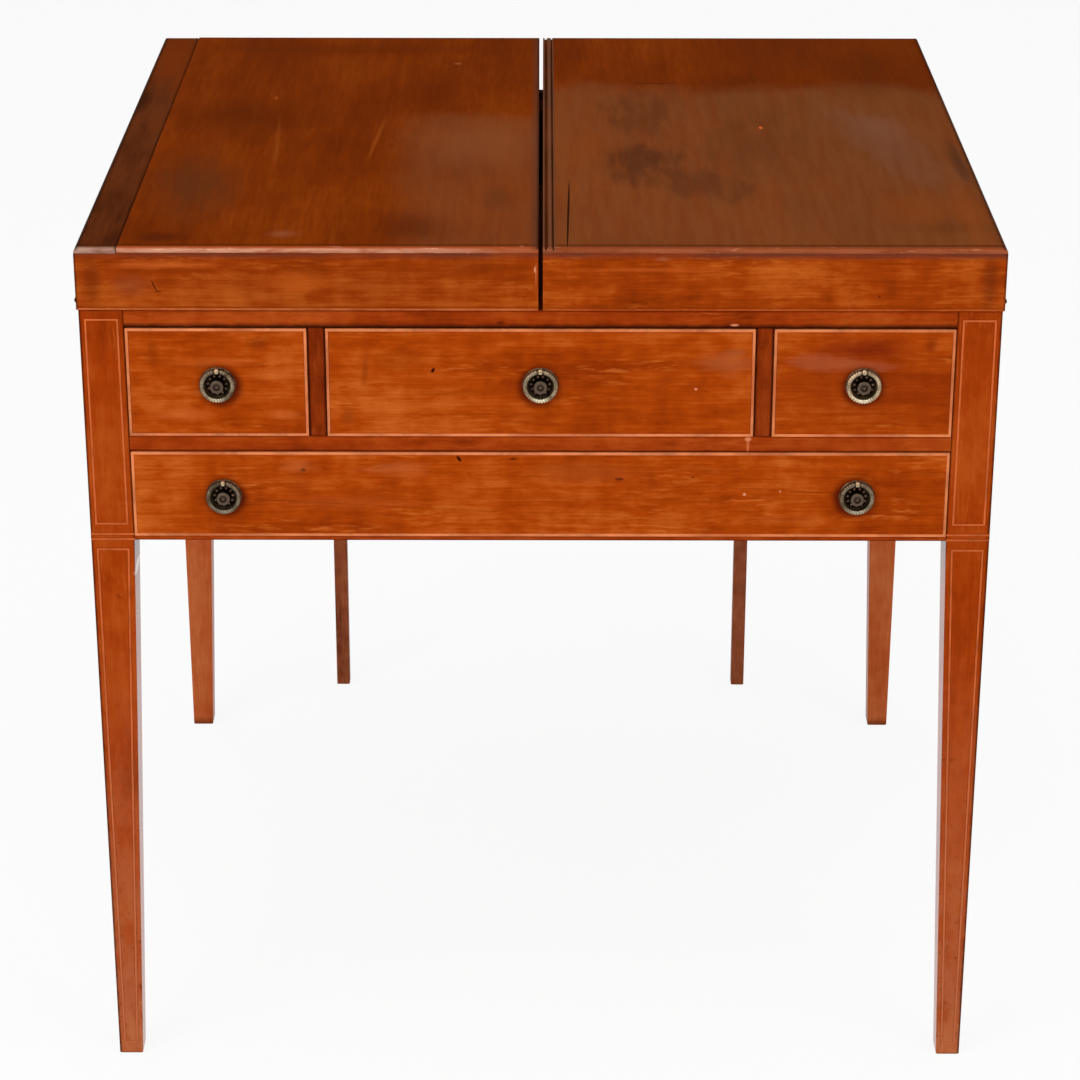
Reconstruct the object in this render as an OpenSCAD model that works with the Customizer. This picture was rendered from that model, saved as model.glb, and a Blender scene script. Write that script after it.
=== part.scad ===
// Enclosed washstand on four tapering legs: three short drawers over a long one, a recessed
// deck with a basin hole, two box lids that open outwards and a towel horse that draws out
// at the back. Sizes are millimetres. +X is the right, -Y the front, and the floor is Z = 0.

/* [Case] */
// Width across the outer faces of the legs
case_w = 837; // [760:1:920]
// Depth across the outer faces of the legs
case_d = 753; // [680:1:860]
// Height of the underside of the case above the floor
case_bottom = 558; // [480:1:640]
// Height of the rail above the short drawers
top_rail_h = 16.6; // [15:0.2:22]
// Height of the opening of the short drawers
short_open_h = 106; // [90:1:120]
// Height of the rail between the two rows of drawers
middle_rail_h = 14.5; // [12:0.5:20]
// Height of the opening of the long drawer
long_open_h = 85.5; // [76:0.5:100]
// Height of the front edge of the bottom rail
bottom_rail_h = 4; // [3:0.5:7]
// Depth of the front rails
rail_d = 45; // [38:1:60]
// Thickness of the side and back panels
panel_t = 14; // [10:1:18]
// How far the panels lie inside the outer faces of the legs
panel_inset = 1; // [0.5:0.5:3]
// Thickness of the two dividers between the short drawers
divider_t = 16; // [12:1:20]
// Width of the opening of the centre drawer
centre_open_w = 392; // [340:1:430]
// How far the dividers lie behind the faces of the rails
divider_recess = 1.5; // [0.5:0.5:4]
// Thickness of the dust board under the short drawers
dust_t = 8; // [6:1:11]
// Width of the runners and guides beside a drawer's sides
runner_w = 12; // [10:1:14]
// Height of the step that carries the long drawer
runner_rise = 9.4; // [6:0.2:12]

/* [Legs] */
// Width of a leg where it meets the case
leg_head = 40.5; // [36:0.5:46]
// Width of a leg at the floor
leg_foot = 23; // [18:0.5:30]
// Chamfer round the foot of a leg
foot_chamfer = 1.2; // [0.6:0.1:3]

/* [Stringing] */
// Width of the lines let into the front legs
string_w = 1.8; // [1:0.1:2.6]
// Depth of the lines let into the front legs
string_depth = 1.2; // [0.8:0.1:2]
// Distance from a leg's edges to its line
string_inset = 4.8; // [3:0.1:7]
// How far the lines on the legs stand proud
string_proud = 0.15; // [0.05:0.05:0.4]
// Distance between the two lines that cross a leg under its head panel
cross_string_gap = 3.4; // [2:0.1:5]
// Width of the line round the edge of a drawer front
edge_string_w = 2.6; // [1.5:0.1:4]
// Depth of the line round the edge of a drawer front
edge_string_depth = 3; // [2:0.5:5]
// How far the line round a drawer front stands proud
edge_string_proud = 0.4; // [0.1:0.1:1]

/* [Lids] */
// Height of the lids
lid_h = 59; // [48:1:72]
// Gap between the lids and the case
lid_seam = 0.4; // [0.3:0.1:1]
// How far the lids stand beyond the case
lid_overhang = 1.5; // [1:0.1:2]
// Gap between the two lids
lid_split = 4; // [2:0.5:6]
// Thickness of the boards on top of the lids
lid_top_t = 9; // [7:0.5:12]
// Height of the rounded edge of those boards above the rails
nose_h = 4.6; // [4.2:0.1:6]
// Radius of the rounded edge
nose_r = 4; // [2:0.5:4]
// Thickness of the rails' lip in front of the boards
lip_t = 3; // [2:0.5:5]
// Thickness of the rails round the lids
lid_rail_t = 14; // [12:0.5:18]
// Thickness of the left lid's rail at the split
meeting_rail_t = 10; // [8:0.5:14]
// Width of the beaded strip on the right lid
bead_w = 11.5; // [11:0.5:16]
// Radius of the narrow bead next to the split
small_bead_r = 0.9; // [0.6:0.1:1.2]
// Radius of the wide bead
large_bead_r = 2.7; // [1.6:0.1:2.8]
// Width of the hollow between the beads
quirk_w = 2; // [1:0.1:2.4]
// Width of the edge board on the left lid
edge_board_w = 38; // [28:1:60]
// How far the edge board lies below the main board
edge_board_drop = 0.8; // [0.2:0.1:1.5]
// Width of the open joint beside the edge board
board_joint = 0.7; // [0.3:0.1:0.9]

/* [Hinges] */
// Length of a hinge
hinge_l = 50; // [40:1:70]
// Distance from a hinge to the end of its lid
hinge_from_end = 28; // [26:1:60]
// Number of knuckles on a hinge
knuckles = 5; // [3:2:7]
// Radius of a knuckle
knuckle_r = 2.6; // [2.4:0.1:3.2]
// Radius of the hinge pin
pin_r = 1.2; // [1:0.1:1.5]
// Clearance round a hinge's pin, a ring's neck and a pull's stud
pin_fit = 0.05; // [0.03:0.01:0.09]
// Gap between neighbouring knuckles
knuckle_gap = 0.35; // [0.3:0.05:0.6]
// Thickness of a leaf
leaf_t = 1.2; // [1:0.1:1.6]
// Width of a leaf inside the edge of the wood
leaf_w = 11; // [8:0.5:12]
// Radius of the screw holes in the leaves
screw_r = 1.6; // [1.2:0.1:2]

/* [Drawers] */
// Depth of the short drawers
short_d = 345; // [280:1:355]
// Depth of the long drawer
long_d = 560; // [440:1:590]
// Thickness of the drawer fronts
front_t = 18; // [16:1:22]
// Thickness of the drawer sides
side_t = 9; // [7:0.5:12]
// Thickness of the drawer backs
back_t = 8; // [6:0.5:10]
// Thickness of the drawer bottoms
bottom_t = 5; // [4:0.5:7]
// Height of a drawer's bottom above the lower edge of its sides
bottom_rise = 6; // [5:0.5:9]
// Depth of the grooves in the drawer fronts, sides and backs
groove_d = 3.5; // [2.5:0.5:4.5]
// Gap on each side of a drawer front
drawer_side_gap = 0.6; // [0.4:0.1:1.2]
// Gap above a drawer front
drawer_top_gap = 1.2; // [0.6:0.1:2]
// Gap under a drawer where it runs
drawer_seat = 0.3; // [0.3:0.1:0.5]
// How far the drawer sides stay below the top of the front
side_drop = 3; // [2:0.5:8]
// Length of the dovetails in a drawer front
tail_l = 12; // [8:0.5:13]
// Number of dovetails at each front corner
tail_count = 3; // [2:1:5]

/* [Ring pulls] */
// Radius of the rosette behind a ring
plate_r = 16.6; // [15:0.2:19]
// Thickness of the rosette's rim
plate_t = 1.6; // [1.2:0.1:2]
// Radius of the knob in the middle of the rosette
knob_r = 6.2; // [5:0.1:8]
// Height of that knob above the rosette's rim
knob_h = 7.4; // [4:0.2:8]
// Radius of the ring to the middle of its bar
ring_r = 14; // [13:0.1:15]
// Radius of the ring's bar
ring_bar_r = 2.4; // [1.8:0.1:2.5]
// Gap between the ring and the rosette's rim
ring_gap = 0.6; // [0.5:0.1:1]
// Width of the lug that carries the ring
lug_w = 5; // [4:0.2:6]
// Thickness of the lug's wall round the ring's neck
lug_wall = 1.3; // [1:0.1:1.5]
// Radius of the neck of the ring inside the lug
neck_r = 1.3; // [1:0.1:1.5]
// Gap between the ring's shoulders and the lug
shoulder_gap = 0.3; // [0.2:0.05:0.5]
// Radius of the stud through the drawer front
stud_r = 2.4; // [2:0.1:3]
// Width across the corners of the nut inside the drawer
nut_w = 11; // [9:0.5:14]
// Thickness of that nut
nut_t = 3; // [2:0.5:5]
// How far the stud stands out of the nut
stud_end = 2; // [1:0.5:5]
// How far the pulls lie below the middle of their openings
pull_drop = 2; // [0:0.5:6]
// Distance from a leg to the nearest pull on the long drawer
long_pull_inset = 85; // [60:1:140]

/* [Deck] */
// Thickness of the deck boards under the lids
deck_t = 10; // [8:0.5:12]
// Radius of the hole for the basin
basin_r = 140; // [100:1:150]
// Radius of the holes for the cups
cup_r = 36; // [25:1:40]
// Distance from the middle of the deck to the cup holes
cup_x = 300; // [230:1:320]
// Thickness of the strips that divide the deck
strip_t = 6; // [4:0.5:10]
// Height of the strips above the deck
strip_h = 30; // [15:1:34]
// Free width left between the strips under the lids' split
strip_clear = 80; // [60:1:140]

/* [Towel horse] */
// Distance that the horse is drawn out behind the case
horse_out = 88; // [60:1:110]
// Width across the horse's uprights
horse_w = 504; // [440:1:540]
// Height of the horse
horse_h = 770; // [700:1:775]
// Width of an upright at the top
upright_head = 17; // [15:0.5:22]
// Width of an upright at the floor
upright_foot = 15.5; // [12:0.5:17]
// Radius of the towel rails
rail_r = 6.5; // [5:0.5:7]
// Depth of the sockets that hold the towel rails
socket_d = 6; // [4:0.5:9]
// Height of the lower towel rail
low_rail_z = 450; // [300:5:500]
// Distance from the top of the horse to its upper rail
top_rail_drop = 22; // [15:1:40]
// Width of the arms that slide in the case
arm_w = 14; // [10:0.5:15]
// Height of the arms
arm_h = 24; // [16:1:30]
// Length of the arms inside the back panel when the horse is drawn out as shown
arm_in = 250; // [200:1:270]
// Clearance round the arms
arm_gap = 0.5; // [0.3:0.1:1]
// Thickness of the guides round the arms
guide_t = 8; // [6:0.5:12]

/* [Hidden] */
$fn = 48;
// Overshoot of a cut beyond the face that it opens
cut = 1;
// Clearance of a glued joint: a drawer's back in its grooves, a towel rail in its socket
dry_fit = 0.02;
// Space left over a drawer stop
stop_clear = 1.5;
// Space between a closed line on a leg and what it ends at, beyond its inset
loop_margin = 3.8;

// Levels of the case
long_z = case_bottom + bottom_rail_h;
middle_z = long_z + long_open_h;
short_z = middle_z + middle_rail_h;
deck_z = short_z + short_open_h;
case_top = deck_z + top_rail_h;
case_h = case_top - case_bottom;
runner_z = long_z + runner_rise;

// Openings across the case
half_w = case_w / 2;
inner_w = case_w - 2 * leg_head;
divider_x = centre_open_w / 2 + divider_t / 2;
side_open_w = inner_w / 2 - centre_open_w / 2 - divider_t;
side_open_x = inner_w / 2 - side_open_w / 2;
panel_in_x = half_w - panel_inset - panel_t;
back_in_y = case_d - panel_inset - panel_t;
divider_end = short_d + divider_t;

// Lids
lid_z = case_top + lid_seam;
lid_top = lid_z + lid_h;
lid_x = half_w + lid_overhang;
lid_front = -lid_overhang;
lid_back = case_d + lid_overhang;
board_z = lid_top - lid_top_t;
lip_z = lid_top - nose_h;

// Hinge axis, outside the lid's edge and on the joint between the lid and the case
hinge_air = 0.35;
hinge_x = lid_x + knuckle_r + hinge_air;
hinge_z = case_top + lid_seam / 2;
hinge_starts = [lid_front + hinge_from_end, lid_back - hinge_from_end - hinge_l];
knuckle_l = (hinge_l - (knuckles - 1) * knuckle_gap) / knuckles;

// Ring pulls, measured from the face of a drawer front
ring_y = plate_t + ring_gap + ring_bar_r;
lug_r = neck_r + lug_wall;
short_pull_z = short_z + short_open_h / 2 - pull_drop;
long_pull_z = long_z + long_open_h / 2 - pull_drop;
long_pull_x = inner_w / 2 - long_pull_inset;

// Deck
basin_y = (divider_end + back_in_y) / 2;
cup_y = basin_y;

// Towel horse
horse_y = case_d + horse_out;
arm_z = short_z + guide_t / 2 + arm_gap;
arm_x = horse_w / 2 - upright_head / 2;
arm_start = case_d - arm_in;

// The origin lies under the middle of the closed washstand, from the front of its pulls to
// the back of its towel horse
front_reach = max(ring_y + max(ring_bar_r, lug_r), plate_t + knob_h);
back_reach = horse_y + upright_head;
middle_y = (back_reach - front_reach) / 2;

satinwood = [0.63, 0.27, 0.08];
mahogany = [0.45, 0.19, 0.07];
boxwood = [0.85, 0.55, 0.36];
oak = [0.68, 0.52, 0.34];
brass = [0.60, 0.52, 0.36];
dark_brass = [0.26, 0.21, 0.15];
iron = [0.12, 0.10, 0.09];

// Sets a piece, drawn with the front of the case on Y = 0, into the part's own frame
module placed(tint) {
    color(tint) translate([0, -middle_y, 0]) children();
}

// A board between two corners
module board(low, high) {
    translate(low) cube(high - low);
}

// A profile drawn in Y and Z, drawn out along X
module along_x(x0, x1) {
    translate([x0, 0, 0]) rotate([90, 0, 90]) linear_extrude(x1 - x0) children();
}

// A profile drawn in X and Z, drawn out along Y
module along_y(y0, y1) {
    translate([0, y1, 0]) rotate([90, 0, 0]) linear_extrude(y1 - y0) children();
}

module both_sides() {
    children();
    mirror([1, 0, 0]) children();
}

// A rod along X
module rod_x(x0, x1, r) {
    translate([x0, 0, 0]) rotate([0, 90, 0]) cylinder(h = x1 - x0, r = r);
}

// A rod along Y
module rod_y(y0, y1, r) {
    translate([0, y1, 0]) rotate([90, 0, 0]) cylinder(h = y1 - y0, r = r);
}

// One face of a square leg whose outer edge is upright and whose inner edge tapers
module leg_face(head, foot, taper_z, top) {
    polygon([
        [foot_chamfer, 0], [foot - foot_chamfer, 0], [foot, foot_chamfer],
        [head, taper_z], [head, top], [0, top], [0, foot_chamfer]
    ]);
}

// A square leg with its outer corner on the Z axis, tapering on its two inner faces
module tapered_leg(head, foot, taper_z, top) {
    intersection() {
        along_y(0, head) leg_face(head, foot, taper_z, top);
        along_x(0, head) leg_face(head, foot, taper_z, top);
    }
}

function leg_width(z) =
    z >= case_bottom ? leg_head : leg_foot + (leg_head - leg_foot) * z / case_bottom;

// A closed line inside the front face of a leg, from z0 to z1
module leg_loop(z0, z1) {
    difference() {
        loop_outline(z0, z1, string_inset);
        loop_outline(z0 + string_w, z1 - string_w, string_inset + string_w);
    }
}

module loop_outline(z0, z1, inset) {
    polygon([
        [inset, z0], [leg_width(z0) - inset, z0],
        [leg_width(z1) - inset, z1], [inset, z1]
    ]);
}

// All the lines on the front of one front leg, drawn from the leg's outer edge
module leg_lines() {
    loop_end = string_inset + loop_margin;
    leg_loop(case_bottom + 2 * string_w + cross_string_gap + loop_end,
        case_top - loop_end);
    leg_loop(string_inset + 2 * loop_margin, case_bottom - loop_end);
    for (line = [0, 1])
        translate([0, case_bottom + line * (string_w + cross_string_gap)])
            square([leg_head, string_w]);
}

module left_leg_lines(proud) {
    translate([-half_w, 0, 0]) along_y(-proud, string_depth) leg_lines();
}

// Recesses for the hinge leaves in the top of the case
module case_leaf_recesses() {
    for (y = hinge_starts)
        board([lid_x - leaf_w - lid_overhang, y, case_top - leaf_t],
            [half_w + cut, y + hinge_l, case_top + cut]);
}

// Recesses for the hinge leaves in the underside of the lids
module lid_leaf_recesses() {
    for (y = hinge_starts)
        board([lid_x - leaf_w - lid_overhang, y, lid_z - cut],
            [lid_x + cut, y + hinge_l, lid_z + leaf_t]);
}

module right_front_leg_blank() {
    difference() {
        translate([half_w, 0, 0]) mirror([1, 0, 0])
            tapered_leg(leg_head, leg_foot, case_bottom, case_top);
        case_leaf_recesses();
        mirror([1, 0, 0]) left_leg_lines(cut);
    }
}

module right_rear_leg_blank() {
    difference() {
        translate([half_w, case_d, 0]) mirror([1, 0, 0]) mirror([0, 1, 0])
            tapered_leg(leg_head, leg_foot, case_bottom, case_top);
        case_leaf_recesses();
    }
}

module leg_front_right() placed(satinwood) right_front_leg_blank();
module leg_front_left() placed(satinwood) mirror([1, 0, 0]) right_front_leg_blank();
module leg_rear_right() placed(satinwood) right_rear_leg_blank();
module leg_rear_left() placed(satinwood) mirror([1, 0, 0]) right_rear_leg_blank();

module leg_stringing() placed(boxwood) both_sides() left_leg_lines(string_proud);

module right_side_panel() {
    difference() {
        board([panel_in_x, leg_head, case_bottom],
            [panel_in_x + panel_t, case_d - leg_head, case_top]);
        case_leaf_recesses();
    }
}

module side_panel_right() placed(satinwood) right_side_panel();
module side_panel_left() placed(satinwood) mirror([1, 0, 0]) right_side_panel();

// The space that an arm of the towel horse slides through, with a margin all round
module arm_way(y0, y1, margin) {
    board([arm_x - arm_w / 2 - margin, y0, arm_z - margin],
        [arm_x + arm_w / 2 + margin, y1, arm_z + arm_h + margin]);
}

module back_panel() placed(mahogany) {
    difference() {
        board([-inner_w / 2, back_in_y, case_bottom],
            [inner_w / 2, back_in_y + panel_t, case_top]);
        both_sides() arm_way(back_in_y - cut, case_d + cut, arm_gap);
    }
}

module front_rail(z0, z1) {
    board([-inner_w / 2, 0, z0], [inner_w / 2, rail_d, z1]);
}

module top_rail() placed(satinwood) front_rail(deck_z, case_top);
module middle_rail() placed(satinwood) front_rail(middle_z, short_z);

// The bottom rail rises behind the long drawer's front, which it stops
module bottom_rail() placed(satinwood) along_x(-inner_w / 2, inner_w / 2) polygon([
    [0, case_bottom], [rail_d, case_bottom], [rail_d, runner_z],
    [front_t + drawer_seat, runner_z], [front_t + drawer_seat, long_z], [0, long_z]
]);

module right_divider() {
    board([divider_x - divider_t / 2, divider_recess, short_z],
        [divider_x + divider_t / 2, divider_end, deck_z]);
}

module divider_right() placed(satinwood) right_divider();
module divider_left() placed(satinwood) mirror([1, 0, 0]) right_divider();

// A board that fills the case behind the front rails, notched round the rear legs
module notched_board(y0, z0, z1) {
    difference() {
        board([-panel_in_x, y0, z0], [panel_in_x, back_in_y, z1]);
        both_sides()
            board([inner_w / 2, case_d - leg_head, z0 - cut],
                [panel_in_x + cut, back_in_y + cut, z1 + cut]);
    }
}

module dust_board() placed(oak) notched_board(rail_d, short_z - dust_t, short_z);

// Stepped runners of the long drawer and the bearers of the dust board above it
module drawer_runners() placed(oak) both_sides() {
    along_y(rail_d, case_d - leg_head) polygon([
        [inner_w / 2 - runner_w, case_bottom], [panel_in_x, case_bottom],
        [panel_in_x, runner_z + runner_w], [inner_w / 2, runner_z + runner_w],
        [inner_w / 2, runner_z], [inner_w / 2 - runner_w, runner_z]
    ]);
    board([inner_w / 2, rail_d, short_z - dust_t - runner_w],
        [panel_in_x, case_d - leg_head, short_z - dust_t]);
}

// Guides beside the outer short drawers, and the blocks that stop all three
module drawer_guides() placed(oak) {
    both_sides()
        board([inner_w / 2, rail_d, short_z],
            [panel_in_x, short_d, short_z + runner_w]);
    stop_h = bottom_rise - stop_clear;
    stop_y = front_t + drawer_seat;
    for (x = [-side_open_x, 0, side_open_x])
        board([x - runner_w, stop_y, short_z],
            [x + runner_w, stop_y + runner_w, short_z + stop_h]);
}

// Strips under the edges of the deck
module deck_bearers() placed(oak) {
    both_sides()
        board([panel_in_x - runner_w, leg_head, deck_z - runner_w],
            [panel_in_x, case_d - leg_head, deck_z]);
    board([-inner_w / 2, back_in_y - runner_w, deck_z - runner_w],
        [inner_w / 2, back_in_y, deck_z]);
    board([-panel_in_x, divider_end, deck_z - runner_w],
        [panel_in_x, divider_end + 2 * runner_w, deck_z]);
}

deck_joint_y = divider_end + runner_w;

module front_deck() placed(mahogany) {
    board([-panel_in_x, rail_d, deck_z], [panel_in_x, deck_joint_y, deck_z + deck_t]);
}

module basin_board() placed(mahogany) difference() {
    notched_board(deck_joint_y, deck_z, deck_z + deck_t);
    translate([0, basin_y, deck_z - cut]) cylinder(h = deck_t + 2 * cut, r = basin_r, $fn = 96);
    both_sides()
        translate([cup_x, cup_y, deck_z - cut]) cylinder(h = deck_t + 2 * cut, r = cup_r);
}

// Low walls that make four trays under the lids, clear of the split
module deck_strips() placed(mahogany) both_sides() {
    z0 = deck_z + deck_t;
    z1 = z0 + strip_h;
    x1 = panel_in_x - runner_w;
    tray_d = (deck_joint_y - rail_d) / 2;
    board([strip_clear / 2, rail_d, z0],
        [strip_clear / 2 + strip_t, deck_joint_y, z1]);
    for (y = [rail_d + tray_d, deck_joint_y])
        board([strip_clear / 2, y - strip_t, z0], [x1, y, z1]);
}

// A rectangular tunnel round each arm, along the top of the dust board
module slide_guides() placed(oak) both_sides() {
    guide_front = divider_end + 2 * runner_w;
    difference() {
        board([arm_x - arm_w / 2 - arm_gap - guide_t, guide_front, short_z],
            [arm_x + arm_w / 2 + arm_gap + guide_t, back_in_y,
                arm_z + arm_h + arm_gap + guide_t]);
        arm_way(guide_front - cut, back_in_y + cut, arm_gap);
    }
}

// Knuckles of one hinge that belong to a leaf: every second one from the first given
module hinge_knuckles(first) {
    for (i = [first : 2 : knuckles - 1])
        translate([hinge_x, 0, hinge_z])
            rod_y(i * (knuckle_l + knuckle_gap), i * (knuckle_l + knuckle_gap) + knuckle_l,
                knuckle_r);
}

// One leaf with its knuckles, pin hole and screw holes, lying between z0 and z1
module hinge_leaf(first, z0, z1, hole_r) {
    difference() {
        union() {
            hinge_knuckles(first);
            board([lid_x - leaf_w - lid_overhang, 0, z0], [lid_x, hinge_l, z1]);
            for (i = [first : 2 : knuckles - 1])
                board([lid_x - cut, i * (knuckle_l + knuckle_gap), z0],
                    [hinge_x, i * (knuckle_l + knuckle_gap) + knuckle_l, z1]);
        }
        translate([hinge_x, 0, hinge_z]) rod_y(-cut, hinge_l + cut, hole_r);
        for (y = [hinge_l / 6, hinge_l / 2, hinge_l * 5 / 6])
            translate([lid_x - leaf_w / 2 - lid_overhang, y, z0 - cut])
                cylinder(h = z1 - z0 + 2 * cut, r = screw_r);
    }
}

module right_case_leaves() {
    for (y = hinge_starts)
        translate([0, y, 0]) hinge_leaf(0, case_top - leaf_t, case_top, pin_r + pin_fit);
}

module right_lid_leaves() {
    for (y = hinge_starts)
        translate([0, y, 0]) hinge_leaf(1, lid_z, lid_z + leaf_t, pin_r + pin_fit);
}

module case_hinge_leaves() placed(iron) both_sides() right_case_leaves();

module hinge_pins() placed(iron) both_sides() {
    for (y = hinge_starts)
        translate([hinge_x, y, hinge_z]) rod_y(0, hinge_l, pin_r);
}

module lid_right_hinge_leaves() placed(iron) right_lid_leaves();
module lid_left_hinge_leaves() placed(iron) mirror([1, 0, 0]) right_lid_leaves();

// Section of a lid's top board along Y, with rounded ends above a rebate
module board_section(drop) {
    top = lid_top - drop;
    polygon(concat(
        [[lid_front + lip_t, board_z], [lid_back - lip_t, board_z],
            [lid_back - lip_t, lip_z - drop], [lid_back, lip_z - drop]],
        nose_arc(lid_back - nose_r, top - nose_r, 0),
        nose_arc(lid_front + nose_r, top - nose_r, 90),
        [[lid_front, lip_z - drop], [lid_front + lip_t, lip_z - drop]]
    ));
}

// A quarter round, as points
function nose_arc(y, z, from) = [
    for (step = [0 : 15 : 90])
        [y + nose_r * cos(from + step), z + nose_r * sin(from + step)]
];

// The right lid's outer edge has the same section along X, from x0 to the edge
module edge_section(x0, drop) {
    top = lid_top - drop;
    polygon(concat(
        [[x0, board_z], [lid_x - lip_t, board_z],
            [lid_x - lip_t, lip_z - drop], [lid_x, lip_z - drop]],
        nose_arc(lid_x - nose_r, top - nose_r, 0),
        [[x0, top]]
    ));
}

// A top board that reaches from x0 to the outer edge of a right-hand lid
module outer_board(x0, drop) {
    intersection() {
        along_x(x0, lid_x) board_section(drop);
        along_y(lid_front, lid_back) edge_section(x0, drop);
    }
}

// Front and back rails of a right-hand lid, from the split to its outer edge. Their lip covers
// the ends of the top boards and is lower by drop beyond x_drop.
module right_end_rails(x_drop, drop) {
    module front_one() {
        start = [lid_split / 2, lid_front, lid_z];
        board(start, [lid_x, lid_front + lid_rail_t, board_z]);
        board(start, [lid_x, lid_front + lip_t, lip_z - drop]);
        board(start, [x_drop, lid_front + lip_t, lip_z]);
        board([lid_x - lip_t, lid_front, lid_z],
            [lid_x, lid_front + lid_rail_t, lip_z - drop]);
    }
    front_one();
    translate([0, lid_back + lid_front, 0]) mirror([0, 1, 0]) front_one();
}

// Rail under a lid's outer edge, with the same lip, between the end rails
module right_side_rail(drop) {
    difference() {
        along_y(lid_front + lid_rail_t, lid_back - lid_rail_t) polygon([
            [lid_x - lid_rail_t, lid_z], [lid_x, lid_z], [lid_x, lip_z - drop],
            [lid_x - lip_t, lip_z - drop], [lid_x - lip_t, board_z],
            [lid_x - lid_rail_t, board_z]
        ]);
        lid_leaf_recesses();
    }
}

module lid_right_side_rail() placed(satinwood) right_side_rail(0);
module lid_right_end_rails() placed(satinwood) right_end_rails(lid_x - lid_rail_t, 0);
module lid_right_top() placed(mahogany) outer_board(lid_split / 2 + bead_w, 0);

// Strip along the right lid's split: a narrow bead, a quirk and a wide bead on its top edge
module lid_right_bead_strip() placed(mahogany) {
    x0 = lid_split / 2;
    wide_x = x0 + 2 * small_bead_r + quirk_w + large_bead_r;
    difference() {
        along_x(x0, x0 + bead_w) board_section(0);
        along_y(lid_front - cut, lid_back + cut) difference() {
            translate([x0 - cut, lid_top - large_bead_r])
                square([wide_x + large_bead_r + small_bead_r - x0 + cut, large_bead_r + cut]);
            translate([x0 + small_bead_r, lid_top - small_bead_r]) circle(small_bead_r);
            translate([x0, lid_top - large_bead_r])
                square([2 * small_bead_r, large_bead_r - small_bead_r]);
            translate([wide_x, lid_top - large_bead_r]) circle(large_bead_r);
        }
    }
    board([x0, lid_front + lid_rail_t, lid_z], [x0 + bead_w, lid_back - lid_rail_t, lip_z]);
}

// The left lid is drawn as a right-hand lid and mirrored
module lid_left_top() placed(mahogany) mirror([1, 0, 0])
    along_x(lid_split / 2, lid_x - edge_board_w - board_joint) board_section(0);

module lid_left_edge_board() placed(mahogany) mirror([1, 0, 0])
    outer_board(lid_x - edge_board_w, edge_board_drop);

module lid_left_end_rails() placed(satinwood) mirror([1, 0, 0])
    right_end_rails(lid_x - edge_board_w - board_joint / 2, edge_board_drop);

module lid_left_side_rails() placed(satinwood) mirror([1, 0, 0]) {
    right_side_rail(edge_board_drop);
    board([lid_split / 2, lid_front + lid_rail_t, lid_z],
        [lid_split / 2 + meeting_rail_t, lid_back - lid_rail_t, board_z]);
}

// Sizes of a drawer, from the width and height of its opening
function front_w(open_w) = open_w - 2 * drawer_side_gap;
function front_h(open_h) = open_h - drawer_seat - drawer_top_gap;

// Dovetails on the front end of a drawer side that is h high, drawn in Y and Z
module tails(h) {
    pitch = h / tail_count;
    wide = pitch * 0.7;
    narrow = pitch * 0.5;
    for (i = [0 : tail_count - 1])
        translate([0, (i + 0.5) * pitch])
            polygon([
                [front_t - tail_l, -wide / 2], [front_t - tail_l, wide / 2],
                [front_t + cut, narrow / 2], [front_t + cut, -narrow / 2]
            ]);
}

// A drawer is drawn with the lower edge of its front on Z = 0 and its middle on X = 0.
// rise is the height of the lower edge of its sides above that.
module drawer_front(open_w, open_h, rise, pulls, pull_z) {
    w = front_w(open_w);
    h = front_h(open_h);
    difference() {
        board([-w / 2, 0, 0], [w / 2, front_t, h]);
        along_y(-cut, edge_string_depth) difference() {
            translate([-w / 2 - cut, -cut]) square([w + 2 * cut, h + 2 * cut]);
            translate([edge_string_w - w / 2, edge_string_w])
                square([w - 2 * edge_string_w, h - 2 * edge_string_w]);
        }
        both_sides()
            along_x(w / 2 - side_t, w / 2 + cut)
                translate([0, rise]) tails(h - side_drop - rise);
        board([side_t - groove_d - w / 2, front_t - groove_d, rise + bottom_rise],
            [w / 2 - side_t + groove_d, front_t + cut, rise + bottom_rise + bottom_t]);
        for (x = pulls)
            translate([x, 0, pull_z]) rod_y(-cut, front_t + cut, stud_r + pin_fit);
    }
}

// The two sides and the back of a drawer
module drawer_box(open_w, open_h, rise, depth) {
    w = front_w(open_w);
    h = front_h(open_h) - side_drop - rise;
    back_y = depth - back_t;
    back_z = rise + bottom_rise + bottom_t;
    both_sides() difference() {
        along_x(w / 2 - side_t, w / 2) translate([0, rise]) {
            translate([front_t, 0]) square([depth - front_t, h]);
            tails(h);
        }
        board([w / 2 - side_t - cut, front_t - groove_d, rise + bottom_rise],
            [w / 2 - side_t + groove_d, depth + cut, rise + bottom_rise + bottom_t]);
        board([w / 2 - side_t - cut, back_y - groove_d, back_z],
            [w / 2 - side_t + groove_d, depth - groove_d, rise + h + cut]);
    }
    board([side_t - groove_d - w / 2 + dry_fit, back_y - groove_d + dry_fit, back_z],
        [w / 2 - side_t + groove_d - dry_fit, depth - groove_d - dry_fit,
            rise + h - side_drop]);
}

// The bottom board, held in the grooves of the front and the sides and under the back
module drawer_bottom(open_w, rise, depth) {
    w = front_w(open_w) - 2 * side_t + 2 * groove_d;
    board([-w / 2, front_t - groove_d, rise + bottom_rise],
        [w / 2, depth, rise + bottom_rise + bottom_t]);
}

// The line let into the edge of a drawer front
module drawer_stringing(open_w, open_h) {
    w = front_w(open_w);
    h = front_h(open_h);
    along_y(-edge_string_proud, edge_string_depth) difference() {
        translate([-w / 2, 0]) square([w, h]);
        translate([edge_string_w - w / 2, edge_string_w])
            square([w - 2 * edge_string_w, h - 2 * edge_string_w]);
    }
}

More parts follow.
